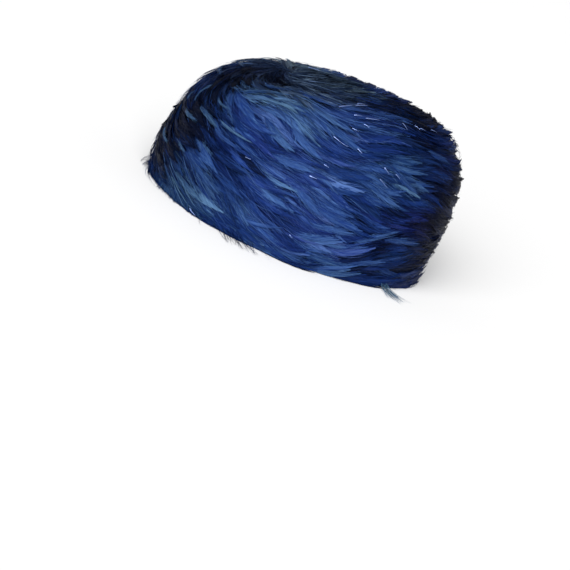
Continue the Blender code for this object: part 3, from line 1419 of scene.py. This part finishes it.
    def _lay_hairs(self) -> None:
        """Lays single barbs that stand a little off the feathers."""
        draw, plan, count = self.draw, self.plan, self.plan.hairs
        angle = draw.uniform(0.0, FULL_TURN, count)
        way = draw.uniform(plan.first_way, plan.last_way + self.hair_overrun, count)
        length = draw.uniform(*self.hair_length, count)
        turn = np.radians(draw.normal(0.0, self.hair_turn_spread, count))
        bend = np.radians(draw.normal(*self.hair_bend, count))
        shafts = self.lay.shafts(angle, way, length, turn, bend, self.hair_samples)
        along = np.linspace(0.0, 1.0, self.hair_samples)[None, :]
        start = draw.uniform(*self.hair_lift, (count, 1)) - self.hair_rim_drop * near_rim(way)[:, None]
        start = start + patched_lift(angle, way)[:, None]
        rise = draw.normal(*self.hair_rise, (count, 1))
        shafts = self._raised(shafts, start + rise * along)
        half_width = draw.uniform(*self.hair_half_width, count)
        colour = self.dye.colours(shafts, draw)
        roll = draw.normal(0.0, self.hair_roll_spread, count)
        self.plumage.lay(self.stock.barb, Vanes(shafts, half_width, roll, colour))


# Feathers that show by themselves on top of the others, by kind: angle, way, turn, bend,
# length and half-width in millimetres, tone and hue
SINGLE_FEATHERS = {
    FeatherKind.BROAD: (
        (-46, 0.58, 84, 10, 38, 3.8, 0.68, 0.05),
        (-36, 0.64, 70, 10, 40, 4.2, 0.66, 0.05),
        (-26, 0.70, 76, 16, 50, 4.4, 0.62, 0.05),
        (-8, 0.59, 68, 20, 38, 3.6, 0.72, 0.15),
        (-52, 0.43, 56, 14, 36, 4, 0.70, 0.25),
        (-41, 0.38, 40, 24, 44, 4.4, 0.70, 0.05),
    ),
    FeatherKind.NARROW: (
        (-102, 0.712, 68, 8, 27, 1.2, 0.64, 0.80),
        (-94, 0.575, 78, 0, 27, 1.4, 0.62, 0.80),
        (-135, 0.360, 92, -18, 44, 1.6, 0.52, 0.80),
        (-139, 0.272, 92, -10, 32, 1.6, 0.60, 0.80),
        (-83, 0.716, 80, 6, 15, 1, 0.62, 0.80),
        (-87, 0.508, 70, 6, 34, 1.8, 0.62, 0.80),
        (-82, 0.352, 74, 0, 11, 1, 0.62, 0.60),
        (-73, 0.620, 64, 20, 20, 1.4, 0.60, 0.70),
        (-24, 0.86, 94, 10, 34, 2.6, 0.72, 0.10),
        (-6, 0.84, 112, 14, 44, 2.8, 0.68, 0.10),
        (-46, 0.20, 56, 10, 40, 2.4, 0.64, 0.10),
        (-74, 0.27, 96, -6, 30, 1.6, 0.50, 0.60),
        (-78, 0.36, 90, -14, 34, 2, 0.54, 0.70),
        (4, 0.80, 98, 6, 48, 2.8, 0.62, 0.15),
        (-4, 0.92, 100, 4, 40, 2.6, 0.66, 0.10),
        (-22, 0.80, 92, 8, 36, 2.6, 0.70, 0.05),
        (6, 0.55, 44, 30, 30, 2.4, 0.60, 0.25),
        (14, 0.36, 66, 10, 34, 2.4, 0.56, 0.25),
        (28, 0.50, 40, 30, 34, 2.6, 0.54, 0.30),
    ),
    FeatherKind.WISPY: (
        (-71, 0.75, 74, 6, 34, 4, 0.60, 0.45),
    ),
    FeatherKind.SPLINTER: (
        (-90, 0.356, -6, 62, 25, 1, 0.60, 0.80),
        (-82, 0.428, 65, 20, 22, 0.9, 0.60, 0.80),
        (-72, 0.524, 79, 0, 36, 0.9, 0.80, 0.60),
        (-100, 0.472, 31, 20, 13, 1, 0.58, 0.80),
        (-73, 0.56, 80, 8, 34, 1.6, 0.60, 0.10),
    ),
}

# Stretches of bare, glossy quill between the vanes, placed where glints show and coloured pale so that they
# paint glints besides their real gloss:
# angle, way, turn, length and radius in millimetres
BARE_QUILLS_PAINTED_GLINTS = (
    (-9, 0.324, 84, 11, 0.76),
    (6, 0.312, 66, 10, 0.76),
    (10, 0.300, 50, 6, 0.49),
    (-3, 0.368, 57, 5.5, 0.67),
    (3, 0.384, 61, 10.5, 0.73),
    (-1, 0.412, 26, 4, 0.46),
    (27, 0.420, -36, 6.6, 0.64),
    (35, 0.440, -16, 4.5, 0.54),
    (37, 0.455, 26, 4, 0.49),
    (46, 0.474, 28, 5, 0.49),
    (-19, 0.472, 46, 11.5, 0.45),
    (-9, 0.432, 45, 4.5, 0.45),
    (-9, 0.508, 34, 4, 0.52),
    (-26, 0.628, 88, 5, 0.60),
    (-22, 0.578, 69, 3.5, 0.47),
    (2, 0.564, 36, 5, 0.49),
    (7, 0.584, 46, 4, 0.47),
    (0, 0.600, 52, 7, 0.35),
    (-24, 0.874, 62, 3, 0.45),
    (-50, 0.634, 92, 4, 0.40),
    (145, 0.116, -82, 9, 0.45),
    (-62, 0.960, 70, 7, 0.43),
)


@dataclass(frozen=True)
class BarbTuft:
    """Loose barbs that come out from under the rim and lie on the floor."""

    angle_deg: float
    half_angle_deg: float
    turn_deg: float  # from straight out towards counter-clockwise
    turn_spread_deg: float
    length_mm: float
    count: int
    tone: float
    hue: float


RIM_TUFTS = (
    BarbTuft(24.0, 1.0, -8.0, 9.0, 26.0, 48, 0.80, 0.9),
    BarbTuft(-72.0, 12.0, 62.0, 12.0, 9.0, 90, 0.50, 0.8),
    BarbTuft(-43.0, 5.0, 42.0, 8.0, 22.0, 36, 0.10, 0.0),
    BarbTuft(62.0, 14.0, 58.0, 14.0, 14.0, 50, 0.10, 0.0),
    BarbTuft(170.0, 34.0, 60.0, 14.0, 13.0, 130, 0.40, 0.1),
)


@dataclass
class TopLayer:
    """Single feathers, bare quills and loose barbs that lie on top of the rounds."""

    lay: FeatherLay
    stock: FeatherStock
    seed: int = 31
    samples: int = 12
    lift: float = 0.0106
    tuck: float = 0.0035  # how much lower the roots of the feathers lie
    tuck_power: int = 3
    roll: float = 0.05
    rim_drop: float = 0.0022  # how much lower things lie at the rim
    quill_samples: int = 6
    quill_lift: float = 0.0116
    quill_tuck: float = 0.0008
    quill_bend: float = 6.0
    hidden_quills: int = 24
    hidden_radius: float = 0.00026
    hidden_angle: Pair = (105.0, 225.0)
    hidden_way: Pair = (0.45, 0.92)
    hidden_turn: Pair = (66.0, 10.0)  # middle and spread
    hidden_bend: Pair = (6.0, 6.0)  # middle and spread
    hidden_length_mm: Pair = (4.0, 12.0)
    tuft_way: float = 0.985
    tuft_root_lift: float = 0.004
    tuft_bend: Pair = (10.0, 12.0)  # middle and spread
    tuft_length: Pair = (0.7, 1.1)  # against the tuft's own
    tuft_height: float = 0.006
    tuft_rise: Pair = (0.2, 1.0)  # against the height
    tuft_fall_power: float = 2.2
    tuft_floor_gap: float = 0.0006
    tuft_colour_spread: float = 0.10
    tuft_roll_spread: float = 0.5
    barb_half_width: float = 0.00027
    barb_width_range: Pair = (0.7, 1.3)
    strands: LooseStrands = LooseStrands(per_vane=30)

    def _over_feathers(self, lay: Iterable[Array], samples: int, lift: float, tuck: float) -> Shafts:
        """Follows the lay over the feathers, with the roots tucked in by a little.

        Args:
            lay: angle, way, turn and bend in degrees, and length in millimetres.
            samples: points on each shaft.
            lift: height over the form.
            tuck: how much lower the roots lie.

        Returns:
            The shafts.
        """
        angle_deg, way, turn_deg, bend_deg, length_mm = lay
        angle = np.radians(angle_deg)
        turn_off = self.lay.turn_off(angle, way, np.radians(turn_deg))
        length, bend = length_mm * MILLIMETRE, np.radians(bend_deg)
        shafts = self.lay.shafts(angle, way, length, turn_off, bend, samples)
        along = np.linspace(0.0, 1.0, samples)[None, :]
        drop = self.rim_drop * near_rim(shafts.places[:, :, 1])
        return shafts.lifted(lift - drop - tuck * (1.0 - along) ** self.tuck_power)

    def _floor_shafts(self, angle: Array, turn: Array, bend: Array, length: Array, rise: Array) -> Shafts:
        """Shafts that leave the rim and come to lie on the floor.

        Args:
            angle: angle of each root.
            turn: how far each is turned from straight out.
            bend: how far each turns from its root to its tip.
            length: length of each.
            rise: height of each root against the tuft's.

        Returns:
            The shafts.
        """
        point, normal, _, _ = self.lay.form.read(angle, np.full(len(angle), self.tuft_way))
        along = np.linspace(0.0, 1.0, self.samples)[None, :]
        heading = np.arctan2(normal[:, 1], normal[:, 0])[:, None] + turn[:, None]
        heading = heading + bend[:, None] * along
        step = (length / (self.samples - 1))[:, None]
        root = point + normal * self.tuft_root_lift
        x = np.cumsum(np.cos(heading) * step, axis=1) + root[:, 0:1]
        y = np.cumsum(np.sin(heading) * step, axis=1) + root[:, 1:2]
        fall = (1.0 - along) ** self.tuft_fall_power
        points = stacked(x, y, self.tuft_floor_gap + self.tuft_height * rise[:, None] * fall)
        sideways = stacked(-np.sin(heading), np.cos(heading), 0.0)
        upward = np.broadcast_to((0.0, 0.0, 1.0), points.shape)
        off_form = np.zeros((*heading.shape, 2))
        return Shafts(points, sideways, upward, off_form, off_form)

    def build_feathers(self, materials: Materials) -> bpy.types.Object:
        """Lays the single feathers.

        Args:
            materials: materials of the vanes and of the quills.

        Returns:
            Their piece.
        """
        draw = np.random.default_rng(self.seed + 2)
        plumage = Plumage("single_feathers", self.lay.form)
        for kind, rows in SINGLE_FEATHERS.items():
            *lay, half_width_mm, tone, hue = np.array(rows).T
            shafts = self._over_feathers(lay, self.samples, self.lift, self.tuck)
            roll = np.full(len(rows), self.roll)
            vanes = Vanes(shafts, half_width_mm * MILLIMETRE, roll, stacked(tone, hue))
            plumage.lay(self.stock.feathers[kind], vanes)
            self.strands.lay(self.stock, vanes, plumage, draw)
        return plumage.finish(materials)

    def build_quills(self, material: bpy.types.Material) -> bpy.types.Object:
        """Lays the bare quills, the placed ones and some on the other sides, pale so that they paint glints
        on top of their real gloss.

        Args:
            material: the quills' material.

        Returns:
            Their piece.
        """
        draw, count = np.random.default_rng(self.seed), self.hidden_quills
        angle, way, turn, length_mm, radius_mm = np.array(BARE_QUILLS_PAINTED_GLINTS).T
        placed = (angle, way, turn, np.full(len(angle), self.quill_bend), length_mm)
        hidden = (
            draw.uniform(*self.hidden_angle, count),
            draw.uniform(*self.hidden_way, count),
            draw.normal(*self.hidden_turn, count),
            draw.normal(*self.hidden_bend, count),
            draw.uniform(*self.hidden_length_mm, count),
        )
        lay = [np.concatenate(pair) for pair in zip(placed, hidden)]
        shafts = self._over_feathers(lay, self.quill_samples, self.quill_lift, self.quill_tuck)
        radius = np.concatenate([radius_mm * MILLIMETRE, np.full(count, self.hidden_radius)])
        plain = np.zeros((len(radius), 2))
        plumage = Plumage("bare_quills", self.lay.form)
        plumage.lay(self.stock.bare_quill(), Vanes(shafts, radius, plain[:, 0], plain))
        return plumage.finish((material,))

    def build_tufts(self, material: bpy.types.Material) -> bpy.types.Object:
        """Lays the loose barbs at the rim.

        Args:
            material: the barbs' material.

        Returns:
            Their piece.
        """
        draw = np.random.default_rng(self.seed + 1)
        plumage = Plumage("rim_barbs", self.lay.form)
        for tuft in RIM_TUFTS:
            count = tuft.count
            shafts = self._floor_shafts(
                np.radians(draw.normal(tuft.angle_deg, tuft.half_angle_deg, count)),
                np.radians(draw.normal(tuft.turn_deg, tuft.turn_spread_deg, count)),
                np.radians(draw.normal(*self.tuft_bend, count)),
                draw.uniform(*self.tuft_length, count) * tuft.length_mm * MILLIMETRE,
                draw.uniform(*self.tuft_rise, count),
            )
            half_width = draw.uniform(*self.barb_width_range, count) * self.barb_half_width
            tone, hue = (
                draw.normal(middle, self.tuft_colour_spread, count) for middle in (tuft.tone, tuft.hue)
            )
            roll = draw.normal(0.0, self.tuft_roll_spread, count)
            plumage.lay(self.stock.barb, Vanes(shafts, half_width, roll, stacked(tone, hue)))
        return plumage.finish((material,))


# Finishes


def new_group(
    name: str, inputs: dict[str, str], outputs: dict[str, str]
) -> tuple[bpy.types.NodeTree, bpy.types.Node, bpy.types.Node]:
    """Starts a shader node group.

    Args:
        name: the group's name.
        inputs: name and kind of each input.
        outputs: name and kind of each output.

    Returns:
        The group, its input node and its output node.
    """
    group = bpy.data.node_groups.new(name, "ShaderNodeTree")
    for direction, sockets in (("INPUT", inputs), ("OUTPUT", outputs)):
        for socket_name, kind in sockets.items():
            group.interface.new_socket(socket_name, in_out=direction, socket_type=f"NodeSocket{kind}")
    return group, group.nodes.new("NodeGroupInput"), group.nodes.new("NodeGroupOutput")


@dataclass
class NodeDesk:
    """Places nodes in a tree and links them in one call."""

    tree: bpy.types.NodeTree

    def fill(self, node: bpy.types.Node, **inputs: object) -> None:
        """Sets or links the inputs of a node.

        Args:
            node: the node.
            inputs: values or sockets for its inputs, by name with _ for a space, or by number as
                _0, _1 and so on.
        """
        for key, value in inputs.items():
            number = key.lstrip("_")
            socket = node.inputs[int(number)] if number.isdigit() else node.inputs[key.replace("_", " ")]
            if isinstance(value, bpy.types.NodeSocket):
                self.tree.links.new(value, socket)
            else:
                socket.default_value = value

    def add(self, kind: str, settings: dict[str, object] | None = None, **inputs: object) -> bpy.types.Node:
        """Adds a node.

        Args:
            kind: the node's type.
            settings: properties of the node.
            inputs: values or sockets for its inputs, as for fill.

        Returns:
            The new node.
        """
        node = self.tree.nodes.new(kind)
        for key, value in (settings or {}).items():
            setattr(node, key, value)
        self.fill(node, **inputs)
        return node

    def maths(self, operation: str, *values: object, clamp: bool = False) -> bpy.types.NodeSocket:
        """Adds a Math node and returns its output."""
        inputs = {f"_{number}": value for number, value in enumerate(values)}
        return self.add("ShaderNodeMath", {"operation": operation, "use_clamp": clamp}, **inputs).outputs[0]

    def mix(self, share: object, first: object, second: object, blend: str = "MIX") -> bpy.types.NodeSocket:
        """Mixes two colours and returns the result."""
        settings = {"data_type": "RGBA", "blend_type": blend}
        return self.add("ShaderNodeMix", settings, _0=share, _6=first, _7=second).outputs[2]

    def varied(self, middle: float, change: float, share: bpy.types.NodeSocket) -> bpy.types.NodeSocket:
        """A value round a middle one, which changes by an amount as a share goes from 0 to 1."""
        return self.maths("MULTIPLY_ADD", share, change, middle - 0.5 * change)

    def barb_lines(self, lines: bpy.types.NodeTree, rate: float) -> bpy.types.Node:
        """Places the group of fine lines, at a number of lines for each unit of the feather map."""
        feather_map = self.add("ShaderNodeUVMap", {"uv_map": FEATHER_MAP})
        return self.add("ShaderNodeGroup", {"node_tree": lines}, Map=feather_map.outputs[0], Lines=rate)


def feather_colour_group() -> bpy.types.NodeTree:
    """Builds the node group that turns tone and hue into a feather's colour: its dye with the painted shade
    and light that the tone carries.

    Returns:
        The group.
    """
    colours = ("Dark", "Middle", "Light", "Teal tint", "Violet tint")
    inputs = {"Tone": "Float", "Hue": "Float"} | {colour: "Color" for colour in colours}
    group, given, result = new_group("dyed_feather_colour", inputs, {"Colour": "Color"})
    desk = NodeDesk(group)
    tone, hue = given.outputs["Tone"], given.outputs["Hue"]
    low = desk.maths("MULTIPLY", tone, 2.0, clamp=True)
    high = desk.maths("MULTIPLY", desk.maths("SUBTRACT", tone, 0.5), 2.0, clamp=True)
    base = desk.mix(low, given.outputs["Dark"], given.outputs["Middle"])
    base = desk.mix(high, base, given.outputs["Light"])
    for sign, tint in ((1.0, "Teal tint"), (-1.0, "Violet tint")):
        share = desk.maths("MULTIPLY", hue, sign, clamp=True)
        base = desk.mix(share, base, given.outputs[tint], "MULTIPLY")
    desk.fill(result, Colour=base)
    return group


def barb_lines_group() -> bpy.types.NodeTree:
    """Builds the node group for the fine lines that run along each barb.

    Returns:
        The group.
    """
    stretch = 1.4  # rate of the noise along a barb
    ridge_share, ridge_middle = 0.25, 0.5
    inputs = {"Map": "Vector", "Lines": "Float"}
    group, given, result = new_group("barb_lines", inputs, {"Streak": "Float", "Height": "Float"})
    desk = NodeDesk(group)
    parts = desk.add("ShaderNodeSeparateXYZ", _0=given.outputs["Map"])
    across = desk.maths("MULTIPLY", parts.outputs[0], given.outputs["Lines"])
    along = desk.maths("MULTIPLY", parts.outputs[1], stretch)
    place = desk.add("ShaderNodeCombineXYZ", _0=across, _1=along).outputs[0]
    plane = {"noise_dimensions": "2D"}
    fine = desk.add("ShaderNodeTexNoise", plane, Vector=place, Scale=1.0, Detail=3.0, Roughness=0.6)
    ridge = desk.maths("SINE", desk.maths("MULTIPLY", across, FULL_TURN))
    height = desk.maths("MULTIPLY_ADD", ridge, ridge_share, ridge_middle)
    height = desk.maths("ADD", height, fine.outputs["Fac"])
    desk.fill(result, Streak=fine.outputs["Fac"], Height=height)
    return group


def new_material(name: str) -> tuple[bpy.types.Material, NodeDesk, bpy.types.Node]:
    """Starts a material.

    Args:
        name: the material's name.

    Returns:
        The material, a desk for its nodes and its Principled shader.
    """
    material = bpy.data.materials.new(name)
    material.use_nodes = True
    return material, NodeDesk(material.node_tree), material.node_tree.nodes["Principled BSDF"]


@dataclass(frozen=True)
class VaneFinish:
    """Dyed barbs with a satin sheen along them."""

    name: str
    dark: Colour
    middle: Colour
    light: Colour
    teal_tint: Colour = (1.60, 1.42, 0.80, 1.0)
    violet_tint: Colour = (1.60, 0.78, 0.96, 1.0)
    streak_tone: float = 0.85
    roughness: float = 0.42
    roughness_change: float = -0.18
    anisotropy: float = 0.60
    specular: float = 0.05
    specular_tint: Colour = (0.40, 0.62, 1.0, 1.0)
    bump: float = 0.30
    bump_height: float = 0.00012
    lines: float = 1.7

    def build(self, dyed: bpy.types.NodeTree, lines: bpy.types.NodeTree) -> bpy.types.Material:
        """Builds the material.

        Args:
            dyed: the group that gives the colour, painted shade and light included.
            lines: the group that gives the fine lines.

        Returns:
            The material.
        """
        material, desk, shader = new_material(self.name)
        given = desk.add("ShaderNodeAttribute", {"attribute_name": TONE_ATTRIBUTE})
        parts = desk.add("ShaderNodeSeparateColor", _0=given.outputs["Color"])
        streak, height = desk.barb_lines(lines, self.lines).outputs
        tone = desk.maths("ADD", parts.outputs[0], parts.outputs[2])
        fine = desk.maths("MULTIPLY", desk.maths("SUBTRACT", streak, 0.5), self.streak_tone)
        colour = desk.add(
            "ShaderNodeGroup",
            {"node_tree": dyed},
            Tone=desk.maths("ADD", tone, fine),
            Hue=parts.outputs[1],
            Dark=self.dark,
            Middle=self.middle,
            Light=self.light,
            Teal_tint=self.teal_tint,
            Violet_tint=self.violet_tint,
        )
        bump = desk.add("ShaderNodeBump", Strength=self.bump, Distance=self.bump_height, Height=height)
        tangent = desk.add("ShaderNodeTangent", {"direction_type": "UV_MAP", "uv_map": FEATHER_MAP})
        desk.fill(
            shader,
            Base_Color=colour.outputs["Colour"],
            Roughness=desk.varied(self.roughness, self.roughness_change, streak),
            Normal=bump.outputs["Normal"],
            Tangent=tangent.outputs["Tangent"],
            Anisotropic=self.anisotropy,
            Specular_IOR_Level=self.specular,
            Specular_Tint=self.specular_tint,
        )
        return material


SIDE_VANES = VaneFinish(
    "side_vanes", (0.0008, 0.0019, 0.0105, 1.0), (0.0064, 0.0226, 0.1210, 1.0), (0.052, 0.116, 0.290, 1.0)
)
# The top's darker copy of the vane finish: its darker colours are painted shade for the top
SHADED_TOP_VANES = VaneFinish(
    "top_vanes", (0.0007, 0.0014, 0.0060, 1.0), (0.0088, 0.0195, 0.0580, 1.0), (0.066, 0.108, 0.205, 1.0)
)


@dataclass(frozen=True)
class QuillFinish:
    """Smooth dyed horn of the quills, which takes small bright glints; its pale copy also paints them in
    its colour.
    """

    name: str = "dyed_quill"
    colour: Colour = (0.0100, 0.0240, 0.0900, 1.0)
    roughness: float = 0.34
    specular: float = 0.35
    metallic: float = 0.0
    shade: float = 0.35  # of the streaks, against the colour
    roughness_change: float = 0.20
    lines: float = 1.0

    def build(self, lines: bpy.types.NodeTree) -> bpy.types.Material:
        """Builds the material.

        Args:
            lines: the group that gives the fine lines.

        Returns:
            The material.
        """
        material, desk, shader = new_material(self.name)
        streak = desk.barb_lines(lines, self.lines).outputs["Streak"]
        shaded = tuple(self.shade * value for value in self.colour[:3]) + (1.0,)
        desk.fill(
            shader,
            Base_Color=desk.mix(streak, shaded, self.colour),
            Roughness=desk.varied(self.roughness, self.roughness_change, streak),
            Specular_IOR_Level=self.specular,
            Metallic=self.metallic,
        )
        return material


# The glossy quills' pale blue colour is painted glint: it shows bright from every side, on top of the real
# gloss.
PALE_GLINT_QUILL = QuillFinish("glossy_quill", (0.32, 0.47, 1.0, 1.0), 0.20, 0.90, 0.60)


@dataclass(frozen=True)
class StiffClothFinish:
    """Open woven cloth, stiffened and dyed dark navy; the navy also stands in as painted shade where the
    cloth shows between the feathers.
    """

    name: str = "stiff_woven_cloth"
    thread: Colour = (0.0040, 0.0085, 0.0360, 1.0)
    gap: Colour = (0.0012, 0.0025, 0.0110, 1.0)
    threads_per_metre: float = 900.0
    thread_height: float = 0.0003
    thread_bump: float = 0.7
    wear_rate: float = 60.0
    least_wear: float = 0.3
    roughness: float = 0.825
    roughness_change: float = 0.25
    specular: float = 0.15
    map_name: str = "CrownMap"

    def build(self) -> bpy.types.Material:
        """Builds the material.

        Returns:
            The material.
        """
        material, desk, shader = new_material(self.name)
        crown_map = desk.add("ShaderNodeUVMap", {"uv_map": self.map_name}).outputs[0]
        parts = desk.add("ShaderNodeSeparateXYZ", _0=crown_map)
        rate = self.threads_per_metre * math.pi
        warp, weft = (
            desk.maths("ABSOLUTE", desk.maths("SINE", desk.maths("MULTIPLY", part, rate)))
            for part in parts.outputs[:2]
        )
        weave = desk.maths("MAXIMUM", warp, weft)
        worn = desk.add("ShaderNodeTexNoise", Vector=crown_map, Scale=self.wear_rate, Detail=4.0)
        wear = worn.outputs["Fac"]
        share = desk.maths("MULTIPLY", weave, desk.maths("ADD", wear, self.least_wear), clamp=True)
        bump = desk.add(
            "ShaderNodeBump", Strength=self.thread_bump, Distance=self.thread_height, Height=weave
        )
        desk.fill(
            shader,
            Base_Color=desk.mix(share, self.gap, self.thread),
            Roughness=desk.varied(self.roughness, self.roughness_change, wear),
            Normal=bump.outputs["Normal"],
            Specular_IOR_Level=self.specular,
        )
        return material


# Sub-assemblies


@dataclass
class StiffCrown:
    """The stiff hollow crown that carries the feathers, open below."""

    form: HatForm
    node: str = "hat_body"
    slot: str = "stiff_crown"
    name: str = "stiff_crown_shell"
    wall: float = 0.002
    columns: int = 96
    side_rows: int = 5
    dome_rows: int = 20
    least_share: float = 0.002  # size of the last section against the widest
    cloth_draw: float = 0.8  # length of cloth used for each metre that it is drawn down
    cloth: StiffClothFinish = StiffClothFinish()

    def build(self) -> bpy.types.Object:
        """Models the shell upwards from its rim and gives it its wall.

        Returns:
            The shell's piece.
        """
        form = self.form
        sections = self._sections()
        share, height = sections[0]
        deselect_all()
        bpy.ops.mesh.primitive_circle_add(vertices=self.columns, radius=1.0, fill_type="NOTHING")
        shell = open_shape(self.name)
        size = (form.half_width * share, form.half_length * share, 1.0)
        bpy.ops.transform.resize(value=size, center_override=(0.0, 0.0, 0.0))
        for next_share, next_height in sections[1:]:
            widen = next_share / share
            rise = Vector((0.0, 0.0, next_height - height))
            grow(rise, (widen, widen), Vector((0.0, 0.0, next_height)))
            share, height = next_share, next_height
        bpy.ops.mesh.merge(type="CENTER")
        face_out()
        close_shape()

        places = form.sloped_and_leaned(np.array([vertex.co for vertex in shell.data.vertices], float))
        shell.data.vertices.foreach_set("co", places.astype(np.float32).ravel())
        self._map_cloth(shell, places)
        self._add_wall(shell)
        shell.data.materials.clear()
        shell.data.materials.append(self.cloth.build())
        shell.data.shade_smooth()
        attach(shell, BODY)
        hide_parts(self.node)
        return shell

    def _sections(self) -> list[Pair]:
        """Works out the level sections, from the rim to the top.

        Returns:
            Size, against the widest, and height of each.
        """
        form = self.form
        sections = []
        for row in range(self.side_rows):
            below = 1.0 - row / self.side_rows
            sections.append((float(form.side_share(below)), form.widest_height * (1.0 - below)))
        power = 2.0 / form.shoulder_power
        dome_height = form.height - form.widest_height
        for row in range(self.dome_rows + 1):
            turn = math.pi / 2 * row / self.dome_rows
            share = max(max(math.cos(turn), 0.0) ** power, self.least_share)
            sections.append((share, form.widest_height + dome_height * math.sin(turn) ** power))
        return sections

    def _map_cloth(self, shell: bpy.types.Object, places: Array) -> None:
        """Maps the cloth as one flat sheet that was drawn down over the form.

        Args:
            shell: the shell, before it has its wall.
            places: its vertices.
        """
        flat = places[:, :2] - places[np.argmax(places[:, 2]), :2]
        drop = places[:, 2].max() - places[:, 2]
        used = np.hypot(flat[:, 0], flat[:, 1]) + self.cloth_draw * drop
        add_map(shell.data, self.cloth.map_name, unit(flat) * used[:, None])

    def _add_wall(self, shell: bpy.types.Object) -> None:
        """Gives the shell its wall, inwards, and a level rim.

        Args:
            shell: the shell.
        """
        deselect_all()
        shell.select_set(True)
        bpy.context.view_layer.objects.active = shell
        wall = shell.modifiers.new("wall", "SOLIDIFY")
        wall.thickness = self.wall
        wall.offset = -1.0
        wall.use_even_offset = True
        bpy.ops.object.modifier_apply(modifier=wall.name)
        for vertex in shell.data.vertices:
            if vertex.co.z < MILLIMETRE:
                vertex.co.z = 0.0


@dataclass
class Studio:
    """Pale floor, soft light and the camera."""

    azimuth: float = 60.0
    elevation: float = 11.95
    roll: float = 24.8
    distance: float = 1.10
    aim: tuple[float, float, float] = (0.0, -0.00153, 0.060)
    focal_px: float = 1393.0
    image_px: float = 570.0
    aim_px: Pair = (313.7, 152.3)
    sensor: float = 36.0
    clip_end: float = 50.0
    floor_size: float = 30.0
    floor_cells: int = 4
    floor_colour: Colour = (0.97, 0.97, 0.97, 1.0)
    floor_roughness: float = 0.8
    world_colour: Colour = (1.0, 1.0, 1.0, 1.0)
    world_strength: float = 0.28
    light_azimuth: float = 50.0
    light_elevation: float = 30.0
    light_softness: float = 60.0  # how wide the light looks from the hat, in degrees
    light_power: float = 5.1

    def build(self) -> None:
        """Sets up everything round the hat."""
        bpy.context.scene.view_settings.view_transform = "Standard"
        self._floor()
        self._world()
        self._camera()
        self._light()

    def _floor(self) -> None:
        """A plain pale floor."""
        deselect_all()
        cells = self.floor_cells
        bpy.ops.mesh.primitive_grid_add(
            x_subdivisions=cells, y_subdivisions=cells, size=self.floor_size
        )
        floor = bpy.context.object
        floor.name = "floor"
        material, desk, shader = new_material("pale_floor")
        desk.fill(shader, Base_Color=self.floor_colour, Roughness=self.floor_roughness)
        floor.data.materials.append(material)

    def _world(self) -> None:
        """Even pale light from all round."""
        world = bpy.data.worlds.new("studio")
        world.use_nodes = True
        background = world.node_tree.nodes["Background"]
        NodeDesk(world.node_tree).fill(background, Color=self.world_colour, Strength=self.world_strength)
        bpy.context.scene.world = world

    def _camera(self) -> None:
        """Places the camera as in the photograph, with its aim turned below the hat."""
        turn, roll = math.radians(self.azimuth), math.radians(self.roll)
        back = facing(self.azimuth, self.elevation)
        right = Vector((math.cos(turn), math.sin(turn), 0.0))
        up = back.cross(right)
        rolled_right = right * math.cos(roll) + up * math.sin(roll)
        rolled_up = up * math.cos(roll) - right * math.sin(roll)
        turned = Matrix((rolled_right, rolled_up, back)).transposed()
        middle = self.image_px / 2
        seen = Vector((self.aim_px[0] - middle, middle - self.aim_px[1], -self.focal_px))
        to_middle = seen.rotation_difference(Vector((0.0, 0.0, -1.0))).to_matrix()
        lens = bpy.data.cameras.new("camera")
        lens.sensor_width = self.sensor
        lens.lens = self.focal_px / self.image_px * self.sensor
        lens.clip_end = self.clip_end
        camera = bpy.data.objects.new("camera", lens)
        bpy.context.scene.collection.objects.link(camera)
        place = Vector(self.aim) + back * self.distance
        camera.matrix_world = Matrix.Translation(place) @ (turned @ to_middle).to_4x4()
        bpy.context.scene.camera = camera

    def _light(self) -> None:
        """A distant soft light."""
        lamp = bpy.data.lights.new("key_light", "SUN")
        lamp.angle = math.radians(self.light_softness)
        lamp.energy = self.light_power
        back = facing(self.light_azimuth, self.light_elevation)
        light = bpy.data.objects.new("key_light", lamp)
        bpy.context.scene.collection.objects.link(light)
        light.location = Vector(self.aim) + back * self.distance
        light.rotation_euler = (-back).to_track_quat("-Z", "Y").to_euler()


def report_piece(piece: bpy.types.Object) -> None:
    """Logs a finished piece."""
    piece.data.calc_loop_triangles()
    LOG.info("%s: %d triangles", piece.name, len(piece.data.loop_triangles))


def main() -> None:
    """Builds the hat and the studio."""
    logging.basicConfig(level=logging.INFO, format="%(message)s")
    form = HatForm()
    lay, stock, dye, cover = FeatherLay(form), FeatherStock(), DyeAndShade(), FeatherCover(form)
    dyed, lines = feather_colour_group(), barb_lines_group()
    side, top = SIDE_VANES.build(dyed, lines), SHADED_TOP_VANES.build(dyed, lines)
    quill = QuillFinish().build(lines)

    report_piece(StiffCrown(form).build())
    for number, plan in enumerate(ROUND_PLANS):
        vanes = top if plan.slot == TOP_SLOT else side
        seed = ROUND_SEED + number
        piece = FeatherRound(plan, lay, stock, dye, cover, seed).build((vanes, quill))
        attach(piece, BODY)
        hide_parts(plan.node)
        report_piece(piece)
    top_layer = TopLayer(lay, stock)
    for piece in (
        top_layer.build_feathers((side, quill)),
        top_layer.build_quills(PALE_GLINT_QUILL.build(lines)),
        top_layer.build_tufts(side),
    ):
        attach(piece, BODY)
        report_piece(piece)
    Studio().build()


if __name__ == "__main__":
    main()
